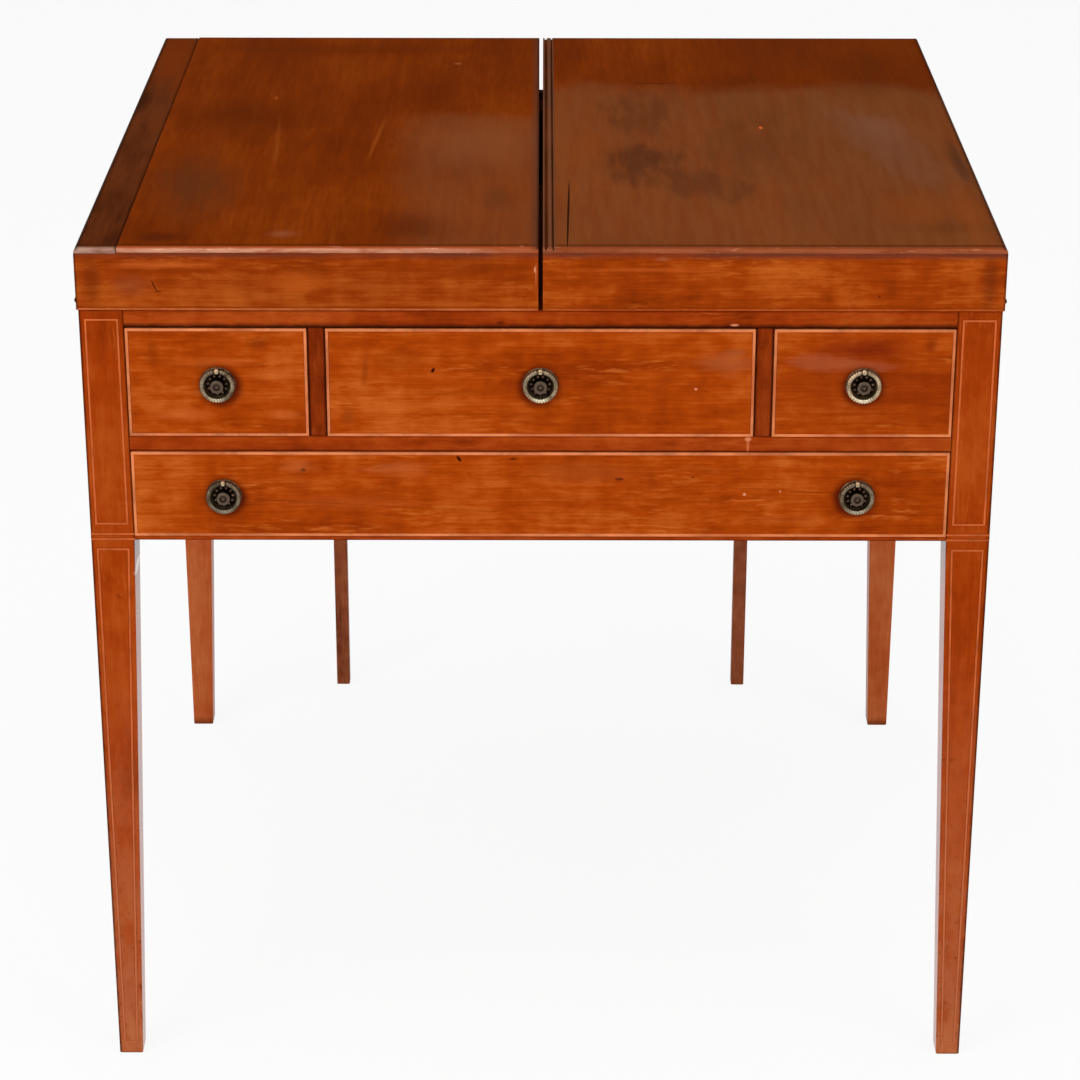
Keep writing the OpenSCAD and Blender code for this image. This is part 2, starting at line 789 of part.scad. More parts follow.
// A turned rosette, its middle on the Y axis: a rim, a hollow and a knob whose face has a
// groove round a dot
module rosette() {
    hollow_r = ring_r - ring_bar_r;
    hollow_z = plate_t * 0.5;
    neck = knob_r * 0.62;
    head = knob_r * 0.4;
    face_z = plate_t + knob_h;
    dot_r = knob_r * 0.22;
    groove = dot_r * 0.4;
    rotate([90, 0, 0]) rotate_extrude() polygon([
        [0, 0], [plate_r, 0], [plate_r, plate_t * 0.6], [plate_r - plate_t * 0.4, plate_t],
        [hollow_r, plate_t], [hollow_r - hollow_z, hollow_z], [neck + 2 * hollow_z, hollow_z],
        [neck, 3 * hollow_z], [neck, face_z - head], [knob_r, face_z - head * 0.55],
        [knob_r, face_z - groove], [knob_r - groove, face_z],
        [dot_r + 2 * groove, face_z], [dot_r + groove, face_z - 2 * groove],
        [dot_r, face_z - 2 * groove], [dot_r - groove, face_z], [0, face_z]
    ]);
}

// The rosette with its lug and stud in one piece, and the nut inside the drawer
module pull_plate() {
    difference() {
        union() {
            rosette();
            translate([0, -ring_y, ring_r]) rod_x(-lug_w / 2, lug_w / 2, lug_r);
            board([-lug_w / 2, -ring_y, ring_r - lug_r],
                [lug_w / 2, -plate_t / 2, ring_r + lug_r / 2]);
            rod_y(-plate_t / 2, front_t + nut_t + stud_end, stud_r);
        }
        translate([0, -ring_y, ring_r]) rod_x(-lug_w, lug_w, neck_r + pin_fit);
    }
    difference() {
        translate([0, front_t + nut_t, 0]) rotate([90, 0, 0])
            cylinder(h = nut_t, d = nut_w, $fn = 6);
        rod_y(front_t - cut, front_t + nut_t + cut, stud_r + pin_fit);
    }
}

// A ring with a thin neck in the lug, on whose axis it swings. Its shoulders clear the lug
// even where the bar's inner side comes nearest to it.
module pull_ring() {
    open_half = asin((lug_w / 2 + shoulder_gap) / (ring_r - ring_bar_r));
    neck_x = ring_r * tan(open_half) + neck_r / 2;
    translate([0, -ring_y, 0]) {
        rotate([90, 0, 0]) rotate([0, 0, 90 + open_half])
            rotate_extrude(angle = 360 - 2 * open_half)
                translate([ring_r, 0]) circle(ring_bar_r, $fn = 24);
        translate([0, 0, ring_r]) rod_x(-neck_x, neck_x, neck_r);
    }
}

module at_short(x) {
    translate([x, 0, short_z + drawer_seat]) children();
}

module at_long() {
    translate([0, 0, long_z + drawer_seat]) children();
}

short_pull_h = short_pull_z - short_z - drawer_seat;
long_pull_h = long_pull_z - long_z - drawer_seat;
long_pulls = [-long_pull_x, long_pull_x];

module short_front(x, w) placed(satinwood) at_short(x)
    drawer_front(w, short_open_h, 0, [0], short_pull_h);
module short_box(x, w) placed(oak) at_short(x) drawer_box(w, short_open_h, 0, short_d);
module short_bottom(x, w) placed(oak) at_short(x) drawer_bottom(w, 0, short_d);
module short_stringing(x, w) placed(boxwood) at_short(x) drawer_stringing(w, short_open_h);
module short_plate(x) placed(dark_brass) translate([x, 0, short_pull_z]) pull_plate();
module short_ring(x) placed(brass) translate([x, 0, short_pull_z]) pull_ring();

module left_drawer_front() short_front(-side_open_x, side_open_w);
module left_drawer_box() short_box(-side_open_x, side_open_w);
module left_drawer_bottom() short_bottom(-side_open_x, side_open_w);
module left_drawer_stringing() short_stringing(-side_open_x, side_open_w);
module left_drawer_plate() short_plate(-side_open_x);
module left_drawer_ring() short_ring(-side_open_x);

module centre_drawer_front() short_front(0, centre_open_w);
module centre_drawer_box() short_box(0, centre_open_w);
module centre_drawer_bottom() short_bottom(0, centre_open_w);
module centre_drawer_stringing() short_stringing(0, centre_open_w);
module centre_drawer_plate() short_plate(0);
module centre_drawer_ring() short_ring(0);

module right_drawer_front() short_front(side_open_x, side_open_w);
module right_drawer_box() short_box(side_open_x, side_open_w);
module right_drawer_bottom() short_bottom(side_open_x, side_open_w);
module right_drawer_stringing() short_stringing(side_open_x, side_open_w);
module right_drawer_plate() short_plate(side_open_x);
module right_drawer_ring() short_ring(side_open_x);

module long_drawer_front() placed(satinwood) at_long()
    drawer_front(inner_w, long_open_h, runner_rise, long_pulls, long_pull_h);
module long_drawer_box() placed(oak) at_long()
    drawer_box(inner_w, long_open_h, runner_rise, long_d);
module long_drawer_bottom() placed(oak) at_long() drawer_bottom(inner_w, runner_rise, long_d);
module long_drawer_stringing() placed(boxwood) at_long()
    drawer_stringing(inner_w, long_open_h);
module long_drawer_plates() placed(dark_brass)
    for (x = long_pulls) translate([x, 0, long_pull_z]) pull_plate();
module long_ring(x) placed(brass) translate([x, 0, long_pull_z]) pull_ring();
module long_drawer_ring_left() long_ring(-long_pull_x);
module long_drawer_ring_right() long_ring(long_pull_x);

towel_rail_levels = [low_rail_z, horse_h - top_rail_drop];

// Slender legs of the towel horse, with blind sockets for its rails
module towel_uprights() placed(mahogany) both_sides() difference() {
    translate([horse_w / 2, horse_y, 0]) mirror([1, 0, 0])
        tapered_leg(upright_head, upright_foot, horse_h - upright_head, horse_h);
    for (z = towel_rail_levels)
        translate([0, horse_y + upright_foot / 2, z])
            rod_x(0, horse_w / 2 - upright_head + socket_d, rail_r + dry_fit);
}

// Two round towel rails, and the two arms that carry the horse from the case
module towel_rails_and_arms() placed(mahogany) {
    rail_end = horse_w / 2 - upright_head + socket_d;
    for (z = towel_rail_levels)
        translate([0, horse_y + upright_foot / 2, z]) rod_x(-rail_end, rail_end, rail_r);
    both_sides() arm_way(arm_start, horse_y, 0);
}

leg_front_left();
leg_front_right();
leg_rear_left();
leg_rear_right();
side_panel_left();
side_panel_right();
back_panel();
top_rail();
middle_rail();
bottom_rail();
divider_left();
divider_right();
dust_board();
drawer_runners();
drawer_guides();
deck_bearers();
front_deck();
basin_board();
deck_strips();
case_hinge_leaves();
hinge_pins();
leg_stringing();
slide_guides();
lid_left_top();
lid_left_edge_board();
lid_left_end_rails();
lid_left_side_rails();
lid_left_hinge_leaves();
lid_right_top();
lid_right_bead_strip();
lid_right_end_rails();
lid_right_side_rail();
lid_right_hinge_leaves();
left_drawer_front();
left_drawer_box();
left_drawer_stringing();
left_drawer_plate();
left_drawer_bottom();
left_drawer_ring();
centre_drawer_front();
centre_drawer_box();
centre_drawer_stringing();
centre_drawer_plate();
centre_drawer_bottom();
centre_drawer_ring();
right_drawer_front();
right_drawer_box();
right_drawer_stringing();
right_drawer_plate();
right_drawer_bottom();
right_drawer_ring();
long_drawer_front();
long_drawer_box();
long_drawer_stringing();
long_drawer_plates();
long_drawer_bottom();
long_drawer_ring_left();
long_drawer_ring_right();
towel_uprights();
towel_rails_and_arms();
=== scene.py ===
"""An enclosed washstand in orange satinwood with pale lines, brass ring pulls and two box lids.

The CAD pieces of wood and iron are shown themselves, with rounded arrises and materials made here.
The rings, the collars of their lugs, the petals of the rosettes and the screws are new meshes.
Marks and forms are placed in millimetres from the middle of the case's front at the floor.
"""
import math
import random
from collections import namedtuple

import bpy
from mathutils import Matrix, Vector


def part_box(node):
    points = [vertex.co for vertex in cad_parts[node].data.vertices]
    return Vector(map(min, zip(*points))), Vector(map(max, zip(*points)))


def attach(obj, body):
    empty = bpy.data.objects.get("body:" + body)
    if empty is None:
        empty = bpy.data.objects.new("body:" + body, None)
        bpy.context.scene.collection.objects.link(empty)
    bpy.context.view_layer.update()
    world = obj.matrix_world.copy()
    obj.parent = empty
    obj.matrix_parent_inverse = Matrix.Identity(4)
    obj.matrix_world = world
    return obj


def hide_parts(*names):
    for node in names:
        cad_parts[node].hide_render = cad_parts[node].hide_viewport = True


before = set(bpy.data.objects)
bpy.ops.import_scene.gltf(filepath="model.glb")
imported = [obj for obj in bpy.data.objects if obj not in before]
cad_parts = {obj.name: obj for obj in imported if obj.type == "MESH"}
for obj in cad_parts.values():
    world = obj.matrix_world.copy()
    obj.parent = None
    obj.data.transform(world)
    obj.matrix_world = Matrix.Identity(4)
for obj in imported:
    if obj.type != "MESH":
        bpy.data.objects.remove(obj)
bpy.context.view_layer.update()

MM = 0.001
AXES = "XYZ"
# Refraction of the old, thin polish
COAT_IOR = 1.2

# Camera of the photograph: its place from the front face of the case, and its angles in degrees
CAMERA_X = 1.33 * MM
CAMERA_BEFORE_FRONT = 2733.8 * MM
CAMERA_HEIGHT = 1738.7 * MM
CAMERA_PITCH = 22.380
CAMERA_YAW = 0.033
CAMERA_ROLL = 0.082
CAMERA_LENS = 106.52
CAMERA_SHIFT = -0.05

# Main planes of the case, from the CAD pieces
FRONT_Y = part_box("leg_front_left")[0][1]
LID_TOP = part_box("lid_right_top")[1][2]
LID_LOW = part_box("lid_right_side_rail")[0][2]


def spot_on(x, y, z):
    """A place in millimetres, measured from the middle of the case's front at the floor."""
    return x * MM, FRONT_Y + y * MM, z * MM


def linear(r, g, b):
    """A colour written as 0-255 sRGB, in linear light."""
    def channel(v):
        v /= 255
        return v / 12.92 if v <= 0.04045 else ((v + 0.055) / 1.055) ** 2.4
    return channel(r), channel(g), channel(b), 1.0


class Shader:
    """A material whose node tree is written as nested calls, each of which returns a socket."""

    def __init__(self, name):
        self.material = bpy.data.materials.new(name)
        self.material.use_nodes = True
        self.tree = self.material.node_tree
        self.surface = self.tree.nodes["Principled BSDF"]
        self.place = self.node("ShaderNodeTexCoord").outputs["Object"]

    def node(self, kind, **settings):
        """A new node with its settings."""
        made = self.tree.nodes.new(kind)
        for key, value in settings.items():
            setattr(made, key, value)
        return made

    def feed(self, socket, value):
        """Links a socket, or sets a constant on it."""
        if isinstance(value, bpy.types.NodeSocket):
            self.tree.links.new(value, socket)
        else:
            socket.default_value = value

    def math(self, operation, *values):
        """The result of a math node."""
        made = self.node("ShaderNodeMath", operation=operation)
        for socket, value in zip(made.inputs, values):
            self.feed(socket, value)
        return made.outputs[0]

    def add(self, *values):
        total = values[0]
        for value in values[1:]:
            total = self.math("ADD", total, value)
        return total

    def times(self, a, b):
        return self.math("MULTIPLY", a, b)

    def mapped(self, scale, offset=(0, 0, 0), place=None):
        """The place on the piece, or another, scaled and then moved."""
        made = self.node("ShaderNodeMapping")
        self.feed(made.inputs["Vector"], place or self.place)
        made.inputs["Location"].default_value = offset
        made.inputs["Scale"].default_value = scale
        return made.outputs[0]

    def bent(self, reach, scale, offset):
        """The place, pushed about by a slow noise."""
        slow = self.node("ShaderNodeTexNoise")
        self.feed(slow.inputs["Vector"], self.mapped(scale, offset))
        slow.inputs["Scale"].default_value = 1.0
        slow.inputs["Detail"].default_value = 2.0
        pushed = self.node("ShaderNodeVectorMath", operation="MULTIPLY_ADD")
        self.feed(pushed.inputs[0], slow.outputs["Color"])
        pushed.inputs[1].default_value = (reach,) * 3
        self.feed(pushed.inputs[2], self.place)
        return pushed.outputs[0]

    def noise(self, scale, offset=(0, 0, 0), detail=2.0, rough=0.5, place=None):
        """Noise of about 0 to 1, with a scale for each axis."""
        made = self.node("ShaderNodeTexNoise")
        self.feed(made.inputs["Vector"], self.mapped(scale, offset, place))
        made.inputs["Scale"].default_value = 1.0
        made.inputs["Detail"].default_value = detail
        made.inputs["Roughness"].default_value = rough
        return made.outputs[0]

    def ease(self, value, low, high, to_low=0.0, to_high=1.0):
        """to_low up to value low, to_high from value high, and a smooth step between them."""
        made = self.node("ShaderNodeMapRange", interpolation_type="SMOOTHSTEP")
        for socket, given in zip(made.inputs, (value, low, high, to_low, to_high)):
            self.feed(socket, given)
        return made.outputs[0]

    def ramp(self, value, stops):
        """Colours at levels of a value, given as pairs of level and colour."""
        made = self.node("ShaderNodeValToRGB")
        self.feed(made.inputs[0], value)
        elements = made.color_ramp.elements
        while len(elements) < len(stops):
            elements.new(0.5)
        for element, (at, colour) in zip(elements, stops):
            element.position = at
            element.color = colour
        return made.outputs[0]

    def mix(self, share, a, b):
        """Colour a, with a share of colour b over it."""
        made = self.node("ShaderNodeMix", data_type="RGBA")
        self.feed(made.inputs[0], share)
        self.feed(made.inputs[6], a)
        self.feed(made.inputs[7], b)
        return made.outputs[2]

    def axis(self, name, vector=None):
        """One coordinate of the place on the piece, or of another vector."""
        made = self.node("ShaderNodeSeparateXYZ")
        self.feed(made.inputs[0], vector or self.place)
        return made.outputs[name]

    def facing(self, name):
        """1 on faces that look along an axis, either way, falling to 0 on faces parallel to it."""
        normal = self.node("ShaderNodeTexCoord").outputs["Normal"]
        return self.ease(self.math("ABSOLUTE", self.axis(name, normal)), 0.4, 0.9)

    def spot(self, centre, radii, soft=0.5, tilt=(0, 0, 0), warp=None):
        """1 inside an ellipsoid round centre, turned by tilt, falling to 0 at its edge."""
        made = self.node("ShaderNodeMapping", vector_type="TEXTURE")
        self.feed(made.inputs["Vector"], self.place)
        made.inputs["Location"].default_value = centre
        made.inputs["Rotation"].default_value = [math.radians(a) for a in tilt]
        made.inputs["Scale"].default_value = radii
        length = self.node("ShaderNodeVectorMath", operation="LENGTH")
        self.feed(length.inputs[0], made.outputs[0])
        reach = length.outputs["Value"]
        if warp is not None:
            reach = self.add(reach, warp)
        return self.ease(reach, 1 - soft, 1.0, 1.0, 0.0)

    def near(self, node, side, width, wobble):
        """1 at one side of a node's box, such as -z, falling to 0 at width from it."""
        low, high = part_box(node)
        i = AXES.index(side[1].upper())
        value = self.axis(AXES[i])
        if side[0] == "-":
            gap = self.math("SUBTRACT", value, low[i])
        else:
            gap = self.math("SUBTRACT", high[i], value)
        return self.ease(self.add(gap, wobble), 0.0, width, 1.0, 0.0)

    def within(self, axis, low, high, soft):
        """1 between two levels of an axis, falling to 0 over soft outside them."""
        value = self.axis(axis)
        rise = self.ease(value, low - soft, low)
        fall = self.ease(value, high, high + soft, 1.0, 0.0)
        return self.times(rise, fall)

    def bump(self, height, strength, distance):
        """Fine relief that shows only in the light."""
        made = self.node("ShaderNodeBump")
        made.inputs["Strength"].default_value = strength
        made.inputs["Distance"].default_value = distance
        self.feed(made.inputs["Height"], height)
        self.feed(self.surface.inputs["Normal"], made.outputs[0])

    def gloss(self, roughness, coat=0.0, coat_roughness=0.2, level=0.5):
        """Roughness and specular level of the surface, and the weight and roughness of its coat."""
        self.feed(self.surface.inputs["Roughness"], roughness)
        self.feed(self.surface.inputs["Coat Weight"], coat)
        self.surface.inputs["Coat Roughness"].default_value = coat_roughness
        self.surface.inputs["Coat IOR"].default_value = COAT_IOR
        self.surface.inputs["Specular IOR Level"].default_value = level


def along(axis, lengthwise, across):
    """A scale for each axis: lengthwise on the grain's own axis and across on the others."""
    return tuple(lengthwise if a == axis else across for a in AXES)


# Colours of the woods as they look on the photograph, 0-255 sRGB
WOODS = {
    "front": dict(dark=(142, 48, 1), base=(173, 67, 5), pale=(206, 104, 36)),
    "lid": dict(dark=(124, 42, 1), base=(159, 60, 5), pale=(198, 98, 30)),
    "rail": dict(dark=(122, 38, 2), base=(158, 57, 8), pale=(186, 84, 26)),
    # Dividers darker than the rails: painted shade of their recess between the drawers
    "divider": dict(dark=(88, 24, 0), base=(132, 45, 5), pale=(160, 66, 18)),
    "leg": dict(dark=(138, 46, 2), base=(163, 59, 5), pale=(184, 82, 24)),
    "rear": dict(dark=(160, 68, 28), base=(194, 92, 44), pale=(214, 122, 72)),
    "top": dict(dark=(88, 30, 1), base=(114, 43, 2), pale=(142, 62, 10)),
    "edge": dict(dark=(58, 22, 6), base=(88, 40, 13), pale=(112, 56, 24)),
    "dark": dict(dark=(62, 26, 10), base=(94, 44, 20), pale=(122, 64, 34)),
    "horse": dict(dark=(108, 52, 30), base=(156, 82, 50), pale=(186, 110, 74)),
    "oak": dict(dark=(128, 94, 58), base=(164, 126, 82), pale=(190, 154, 108)),
}
# Shares of the patterns in the figure of a wood, and the levels of its dark, base and pale
LINE_SHARE = 0.27
BAND_SHARE = 0.22
MOTTLE_SHARE = 1.6
FIGURE_STOPS = (0.34, 0.5, 0.70)
SPECK_SCALE = (260, 260, 260)


def random_shift(seed, reach):
    """An offset of its own for the patterns of a material."""
    rng = random.Random(seed)
    return tuple(rng.uniform(-reach, reach) for _ in AXES)


def wood(name, tone, grain, seed, figure=1.0, gloss=0.4, coat=0.12, flecks=1.0, fine=520,
         ripples=0.2, clouded=0.62, level=0.01, side_coat=None, features=()):
    """Polished wood: fine wavy lines and bands along the grain, short curly flecks and clouds.

    grain is the axis it runs along, and fine the scale of its lines. The scales of all patterns
    are counts to a metre, along the grain and across it. figure, flecks, ripples and clouded are
    the strengths of the patterns. level is the sheen of the wood under its coat, and side_coat
    another coat for faces that look along X.
    """
    s = Shader(name)
    shift = random_shift(seed, 40)
    dark, base, pale = (linear(*WOODS[tone][k]) for k in ("dark", "base", "pale"))

    bent = s.bent(0.007, along(grain, 9, 26), shift)
    lines = s.noise(along(grain, 18, fine), shift, detail=3, rough=0.6, place=bent)
    bands = s.noise(along(grain, 4, fine / 5), shift, detail=3, rough=0.55, place=bent)
    ripple = s.noise(along(grain, 42, 8), shift, detail=2, rough=0.6, place=bent)
    mottle = s.noise(along(grain, 46, 105), shift, detail=4, rough=0.62, place=bent)
    clouds = s.noise(along(grain, 5, 10), shift, detail=4, rough=0.6)
    parts = ((lines, LINE_SHARE * figure), (bands, BAND_SHARE * figure), (ripple, ripples),
             (mottle, MOTTLE_SHARE * ripples), (clouds, clouded))
    # The patterns vary round 0.5, and so does their sum
    value = s.add(0.5 - 0.5 * sum(w for _, w in parts), *[s.times(v, w) for v, w in parts])
    colour = s.ramp(value, list(zip(FIGURE_STOPS, (dark, base, pale))))

    curls = s.noise(along(grain, 44, 300), shift, detail=3, rough=0.6, place=bent)
    groups = s.ease(s.noise(along(grain, 11, 34), shift, detail=3), 0.48, 0.70)
    curls = s.times(s.ease(curls, 0.50, 0.68), s.times(groups, 0.75 * flecks))
    colour = s.mix(curls, colour, pale)
    pores = s.ease(s.noise(along(grain, 130, 900), shift, detail=1), 0.66, 0.76)
    colour = s.mix(s.times(pores, 0.35), colour, dark)
    specks = s.ease(s.noise(SPECK_SCALE, shift, detail=1), 0.76, 0.80)
    colour = s.mix(s.times(specks, 0.5), colour, dark)
    for feature in features:
        colour = feature(s, colour)

    s.feed(s.surface.inputs["Base Color"], colour)
    if side_coat is not None:
        coat = s.ease(s.facing("X"), 0.0, 1.0, coat, side_coat)
    rough = s.ease(clouds, 0.3, 0.7, gloss - 0.06, gloss + 0.10)
    s.gloss(rough, coat, 0.18, level)
    s.bump(s.add(s.times(lines, 0.5), s.times(pores, -0.5)), 0.10, 0.0004)
    return s.material


# Features of a wood: each gives a function that changes a shader's colour
def tint(mask, rgb, share=1.0):
    """Mixes a colour in where mask, a function of the shader, is 1."""
    def apply(s, colour):
        value = mask(s)
        return s.mix(s.times(value, share) if share != 1.0 else value, colour, linear(*rgb))
    return apply


# Scales of the noise in a mark's ragged edge: even, or drawn out along the grain
EVEN_EDGE = (38, 38, 38)
FRONT_EDGE = (17, 38, 66)
TOP_EDGE = (64, 13, 20)
# A mark on one side of a piece stays off its other side
FRONT_MARK_DEPTH = 8
TOP_MARK_DEPTH = 6


def mark(x, y, z, rx, ry, rz, rgb, share=0.8, soft=0.6, tilt=(0, 0, 0), ragged=0.0,
         grain=EVEN_EDGE):
    """A stain, chip or speck, or a painted highlight, reflection or shade, in millimetres from the
    middle of the case's front at the floor.
    """
    def mask(s):
        warp = None
        if ragged:
            warp = s.times(s.add(s.noise(grain, (x, y, z), detail=3, rough=0.6), -0.5), ragged)
        radii = [r * MM for r in (rx, ry, rz)]
        return s.spot(spot_on(x, y, z), radii, soft, tilt, warp)
    return tint(mask, rgb, share)


def front_mark(x, z, rx, rz, rgb, share=0.8, soft=0.6, lean=0.0, ragged=0.0):
    """A mark on the front of the case, its edge ragged along the grain."""
    return mark(x, 0, z, rx, FRONT_MARK_DEPTH, rz, rgb, share, soft, (0, lean, 0), ragged,
                FRONT_EDGE)


def top_mark(x, y, rx, ry, rgb, share=0.8, soft=0.6, turn=0.0, ragged=0.0):
    """A mark on the top of the lids, its edge ragged along the grain."""
    return mark(x, y, LID_TOP / MM, rx, ry, TOP_MARK_DEPTH, rgb, share, soft, (0, 0, turn),
                ragged, TOP_EDGE)


def shade(node, side, width, rgb=(52, 12, 0), share=0.8, uneven=1.5, face=None):
    """Dirt and shadow along one side of a node, only on faces that look along an axis if given."""
    def mask(s):
        wobble = s.times(s.add(s.noise((70, 70, 70), detail=2), -0.5), uneven * MM)
        # Dirt and painted shadow, darkest at the side and fading over width
        dirt_and_shade = s.near(node, side, width * MM, wobble)
        return s.times(dirt_and_shade, s.facing(face)) if face else dirt_and_shade
    return tint(mask, rgb, share)


def line_wood(name, rgb, seed, features=()):
    """Pale wood of the lines let into drawers and legs, a little uneven from place to place."""
    s = Shader(name)
    patches = s.noise((34, 34, 34), random_shift(seed, 9), detail=4, rough=0.65)
    colour = s.ramp(patches, [
        (0.34, linear(*[int(c * 0.86) for c in rgb])),
        (0.50, linear(*rgb)),
        (0.66, linear(*[min(255, int(c * 1.07)) for c in rgb])),
    ])
    for feature in features:
        colour = feature(s, colour)
    s.feed(s.surface.inputs["Base Color"], colour)
    s.gloss(0.45, coat=0.2, level=0.05)
    return s.material


def metal(name, low, high, roughness, seed, grain=260, features=()):
    """Worn metal, darker where its old tarnish is left."""
    s = Shader(name)
    wear = s.noise((grain, grain, grain), random_shift(seed, 9), detail=5, rough=0.65)
    colour = s.ramp(wear, [(0.35, linear(*low)), (0.65, linear(*high))])
    for feature in features:
        colour = feature(s, colour)
    s.feed(s.surface.inputs["Base Color"], colour)
    s.surface.inputs["Metallic"].default_value = 1.0
    s.gloss(s.ease(wear, 0.3, 0.7, roughness + 0.12, roughness - 0.05))
    s.bump(wear, 0.25, 0.0003)
    return s.material


def use(material, *nodes):
    """Puts one material on CAD nodes."""
    for name in nodes:
        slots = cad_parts[name].data.materials
        slots.clear()
        slots.append(material)


SHARP_ANGLE = math.radians(38)


def soften(width, *nodes):
    """Rounds the arrises of CAD nodes by a modifier."""
    for name in nodes:
        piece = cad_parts[name]
        weld = piece.modifiers.new("weld", "WELD")
        weld.merge_threshold = 0.00001
        bevel = piece.modifiers.new("arris", "BEVEL")
        bevel.width = width
        bevel.segments = 2
        bevel.limit_method = "ANGLE"
        bevel.angle_limit = SHARP_ANGLE
        bevel.harden_normals = True


def mesh_piece(name, verts, faces, body, material, slot, smooth=True, groove=None):
    """A new piece that rides on a body, with the depth of its grooves at each corner if given."""
    data = bpy.data.meshes.new(name)
    data.from_pydata(verts, [], faces)
    if groove:
        data.attributes.new("groove", "FLOAT", "POINT").data.foreach_set("value", groove)
    data.validate()
    data.materials.append(material)
    piece = bpy.data.objects.new(name, data)
    bpy.context.scene.collection.objects.link(piece)
    if smooth:
        data.shade_smooth()
        data.set_sharp_from_angle(angle=SHARP_ANGLE)
    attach(piece, body)
    return piece


def joined(parts):
    """One list of corners and faces from several."""
    verts, faces = [], []
    for more, fs in parts:
        base = len(verts)
        verts += more
        faces += [tuple(i + base for i in f) for f in fs]
    return verts, faces


def swept(rings, closed=False):
    """Corners and faces of a tube through equal rings of points, capped or closed on itself."""
    count = len(rings[0])
    verts = [p for ring in rings for p in ring]
    faces = []
    steps = len(rings) if closed else len(rings) - 1
    for i in range(steps):
        a, b = i * count, (i + 1) % len(rings) * count
        for j in range(count):
            k = (j + 1) % count
            faces.append((a + j, a + k, b + k, b + j))
    if not closed:
        faces.append(tuple(range(count - 1, -1, -1)))
        faces.append(tuple(len(verts) - count + j for j in range(count)))
    return verts, faces


# Wood of the case: marks and wear of the drawer fronts, as far as the photograph shows them
FRONT_MARKS = {
    "left_drawer_front": [
        front_mark(-353, 745, 9, 22, (120, 42, 2), 0.45, 0.9, ragged=0.5),
        front_mark(-258, 752, 14, 9, (120, 44, 4), 0.5, 0.9, ragged=0.5),
        front_mark(-300, 734, 60, 7, (206, 100, 36), 0.4, 0.9, ragged=0.6),
        front_mark(-240, 722, 30, 9, (206, 104, 42), 0.4, 0.9, ragged=0.7),
        front_mark(-330, 683, 40, 8, (208, 104, 44), 0.45, 0.9, ragged=0.8),
        front_mark(-236, 683, 22, 7, (208, 104, 44), 0.45, 0.9, ragged=0.8),
    ],
    "centre_drawer_front": [
        front_mark(-98, 727, 2.0, 3.4, (34, 8, 4), 0.95, 0.5, 32, 0.4),
        front_mark(142, 709, 2.0, 1.6, (236, 150, 106)),
        front_mark(168, 735, 32, 18, (174, 92, 48), 0.50, 0.9, ragged=1.8),
        front_mark(178, 745, 14, 5, (156, 82, 44), 0.4, 0.9, ragged=0.5),
        front_mark(-16, 680, 18, 5, (196, 88, 24), 0.4, 0.9, ragged=0.6),
        front_mark(-130, 690, 60, 7, (200, 96, 30), 0.35, 0.9, ragged=0.8),
        front_mark(-160, 728, 5, 26, (132, 48, 4), 0.45, 0.9, 6, 0.6),
        front_mark(-128, 736, 34, 16, (150, 62, 8), 0.40, 0.9, ragged=0.6),
        front_mark(-74, 705, 60, 4, (146, 54, 4), 0.45, 0.9, ragged=0.9),
        front_mark(-176, 682, 8, 14, (140, 66, 22), 0.40, 0.9, ragged=0.6),
        front_mark(112, 688, 5, 12, (142, 50, 4), 0.40, 0.9, ragged=0.6),
    ],
    "right_drawer_front": [
        front_mark(296, 712, 150, 70, (132, 44, 6), 0.35, 0.9),
        front_mark(292, 748, 62, 14, (118, 30, 8), 0.65, 0.9, ragged=0.6),
        front_mark(258, 737, 40, 15, (182, 98, 62), 0.36, 0.9, ragged=2.2),
        front_mark(300, 731, 36, 10, (176, 92, 60), 0.40, 0.9, ragged=2.0),
        front_mark(355, 752, 8, 10, (104, 30, 4), 0.5, 0.9, ragged=0.5),
        front_mark(352, 700, 16, 30, (140, 46, 4), 0.4, 0.9, ragged=0.5),
    ],
    "long_drawer_front": [
        front_mark(-219, 629, 3.0, 2.2, (60, 14, 2), 0.9, 0.5, 0, 0.5),
        front_mark(-75, 640, 1.8, 4.0, (44, 10, 2), 0.95, 0.5, -36, 0.4),
        front_mark(-25, 640, 4.6, 1.4, (80, 24, 2)),
        front_mark(73, 620, 5.4, 1.9, (76, 20, 6), 0.9, 0.5),
        front_mark(141, 622, 2.2, 1.6, (90, 26, 4), 0.6),
        front_mark(189, 605, 2.0, 2.0, (240, 160, 120)),
        front_mark(222, 608, 1.6, 1.6, (226, 140, 96)),
        front_mark(102, 622, 8, 16, (138, 46, 2), 0.4, 0.9, -20, 0.5),
        front_mark(40, 626, 70, 14, (170, 74, 24), 0.5, 0.9, ragged=0.5),
        front_mark(-180, 596, 90, 10, (196, 88, 30), 0.35, 0.9, ragged=0.8),
        front_mark(-222, 612, 18, 20, (148, 54, 8), 0.40, 0.9, ragged=0.8),
        front_mark(-130, 630, 38, 13, (214, 114, 58), 0.34, 0.9, ragged=2.2),
        front_mark(-224, 633, 26, 9, (210, 112, 54), 0.36, 0.9, ragged=2.2),
        front_mark(30, 632, 60, 10, (140, 56, 10), 0.35, 0.9, ragged=0.8),
        front_mark(230, 580, 50, 6, (140, 46, 4), 0.35, 0.9, ragged=0.8),
    ],
}
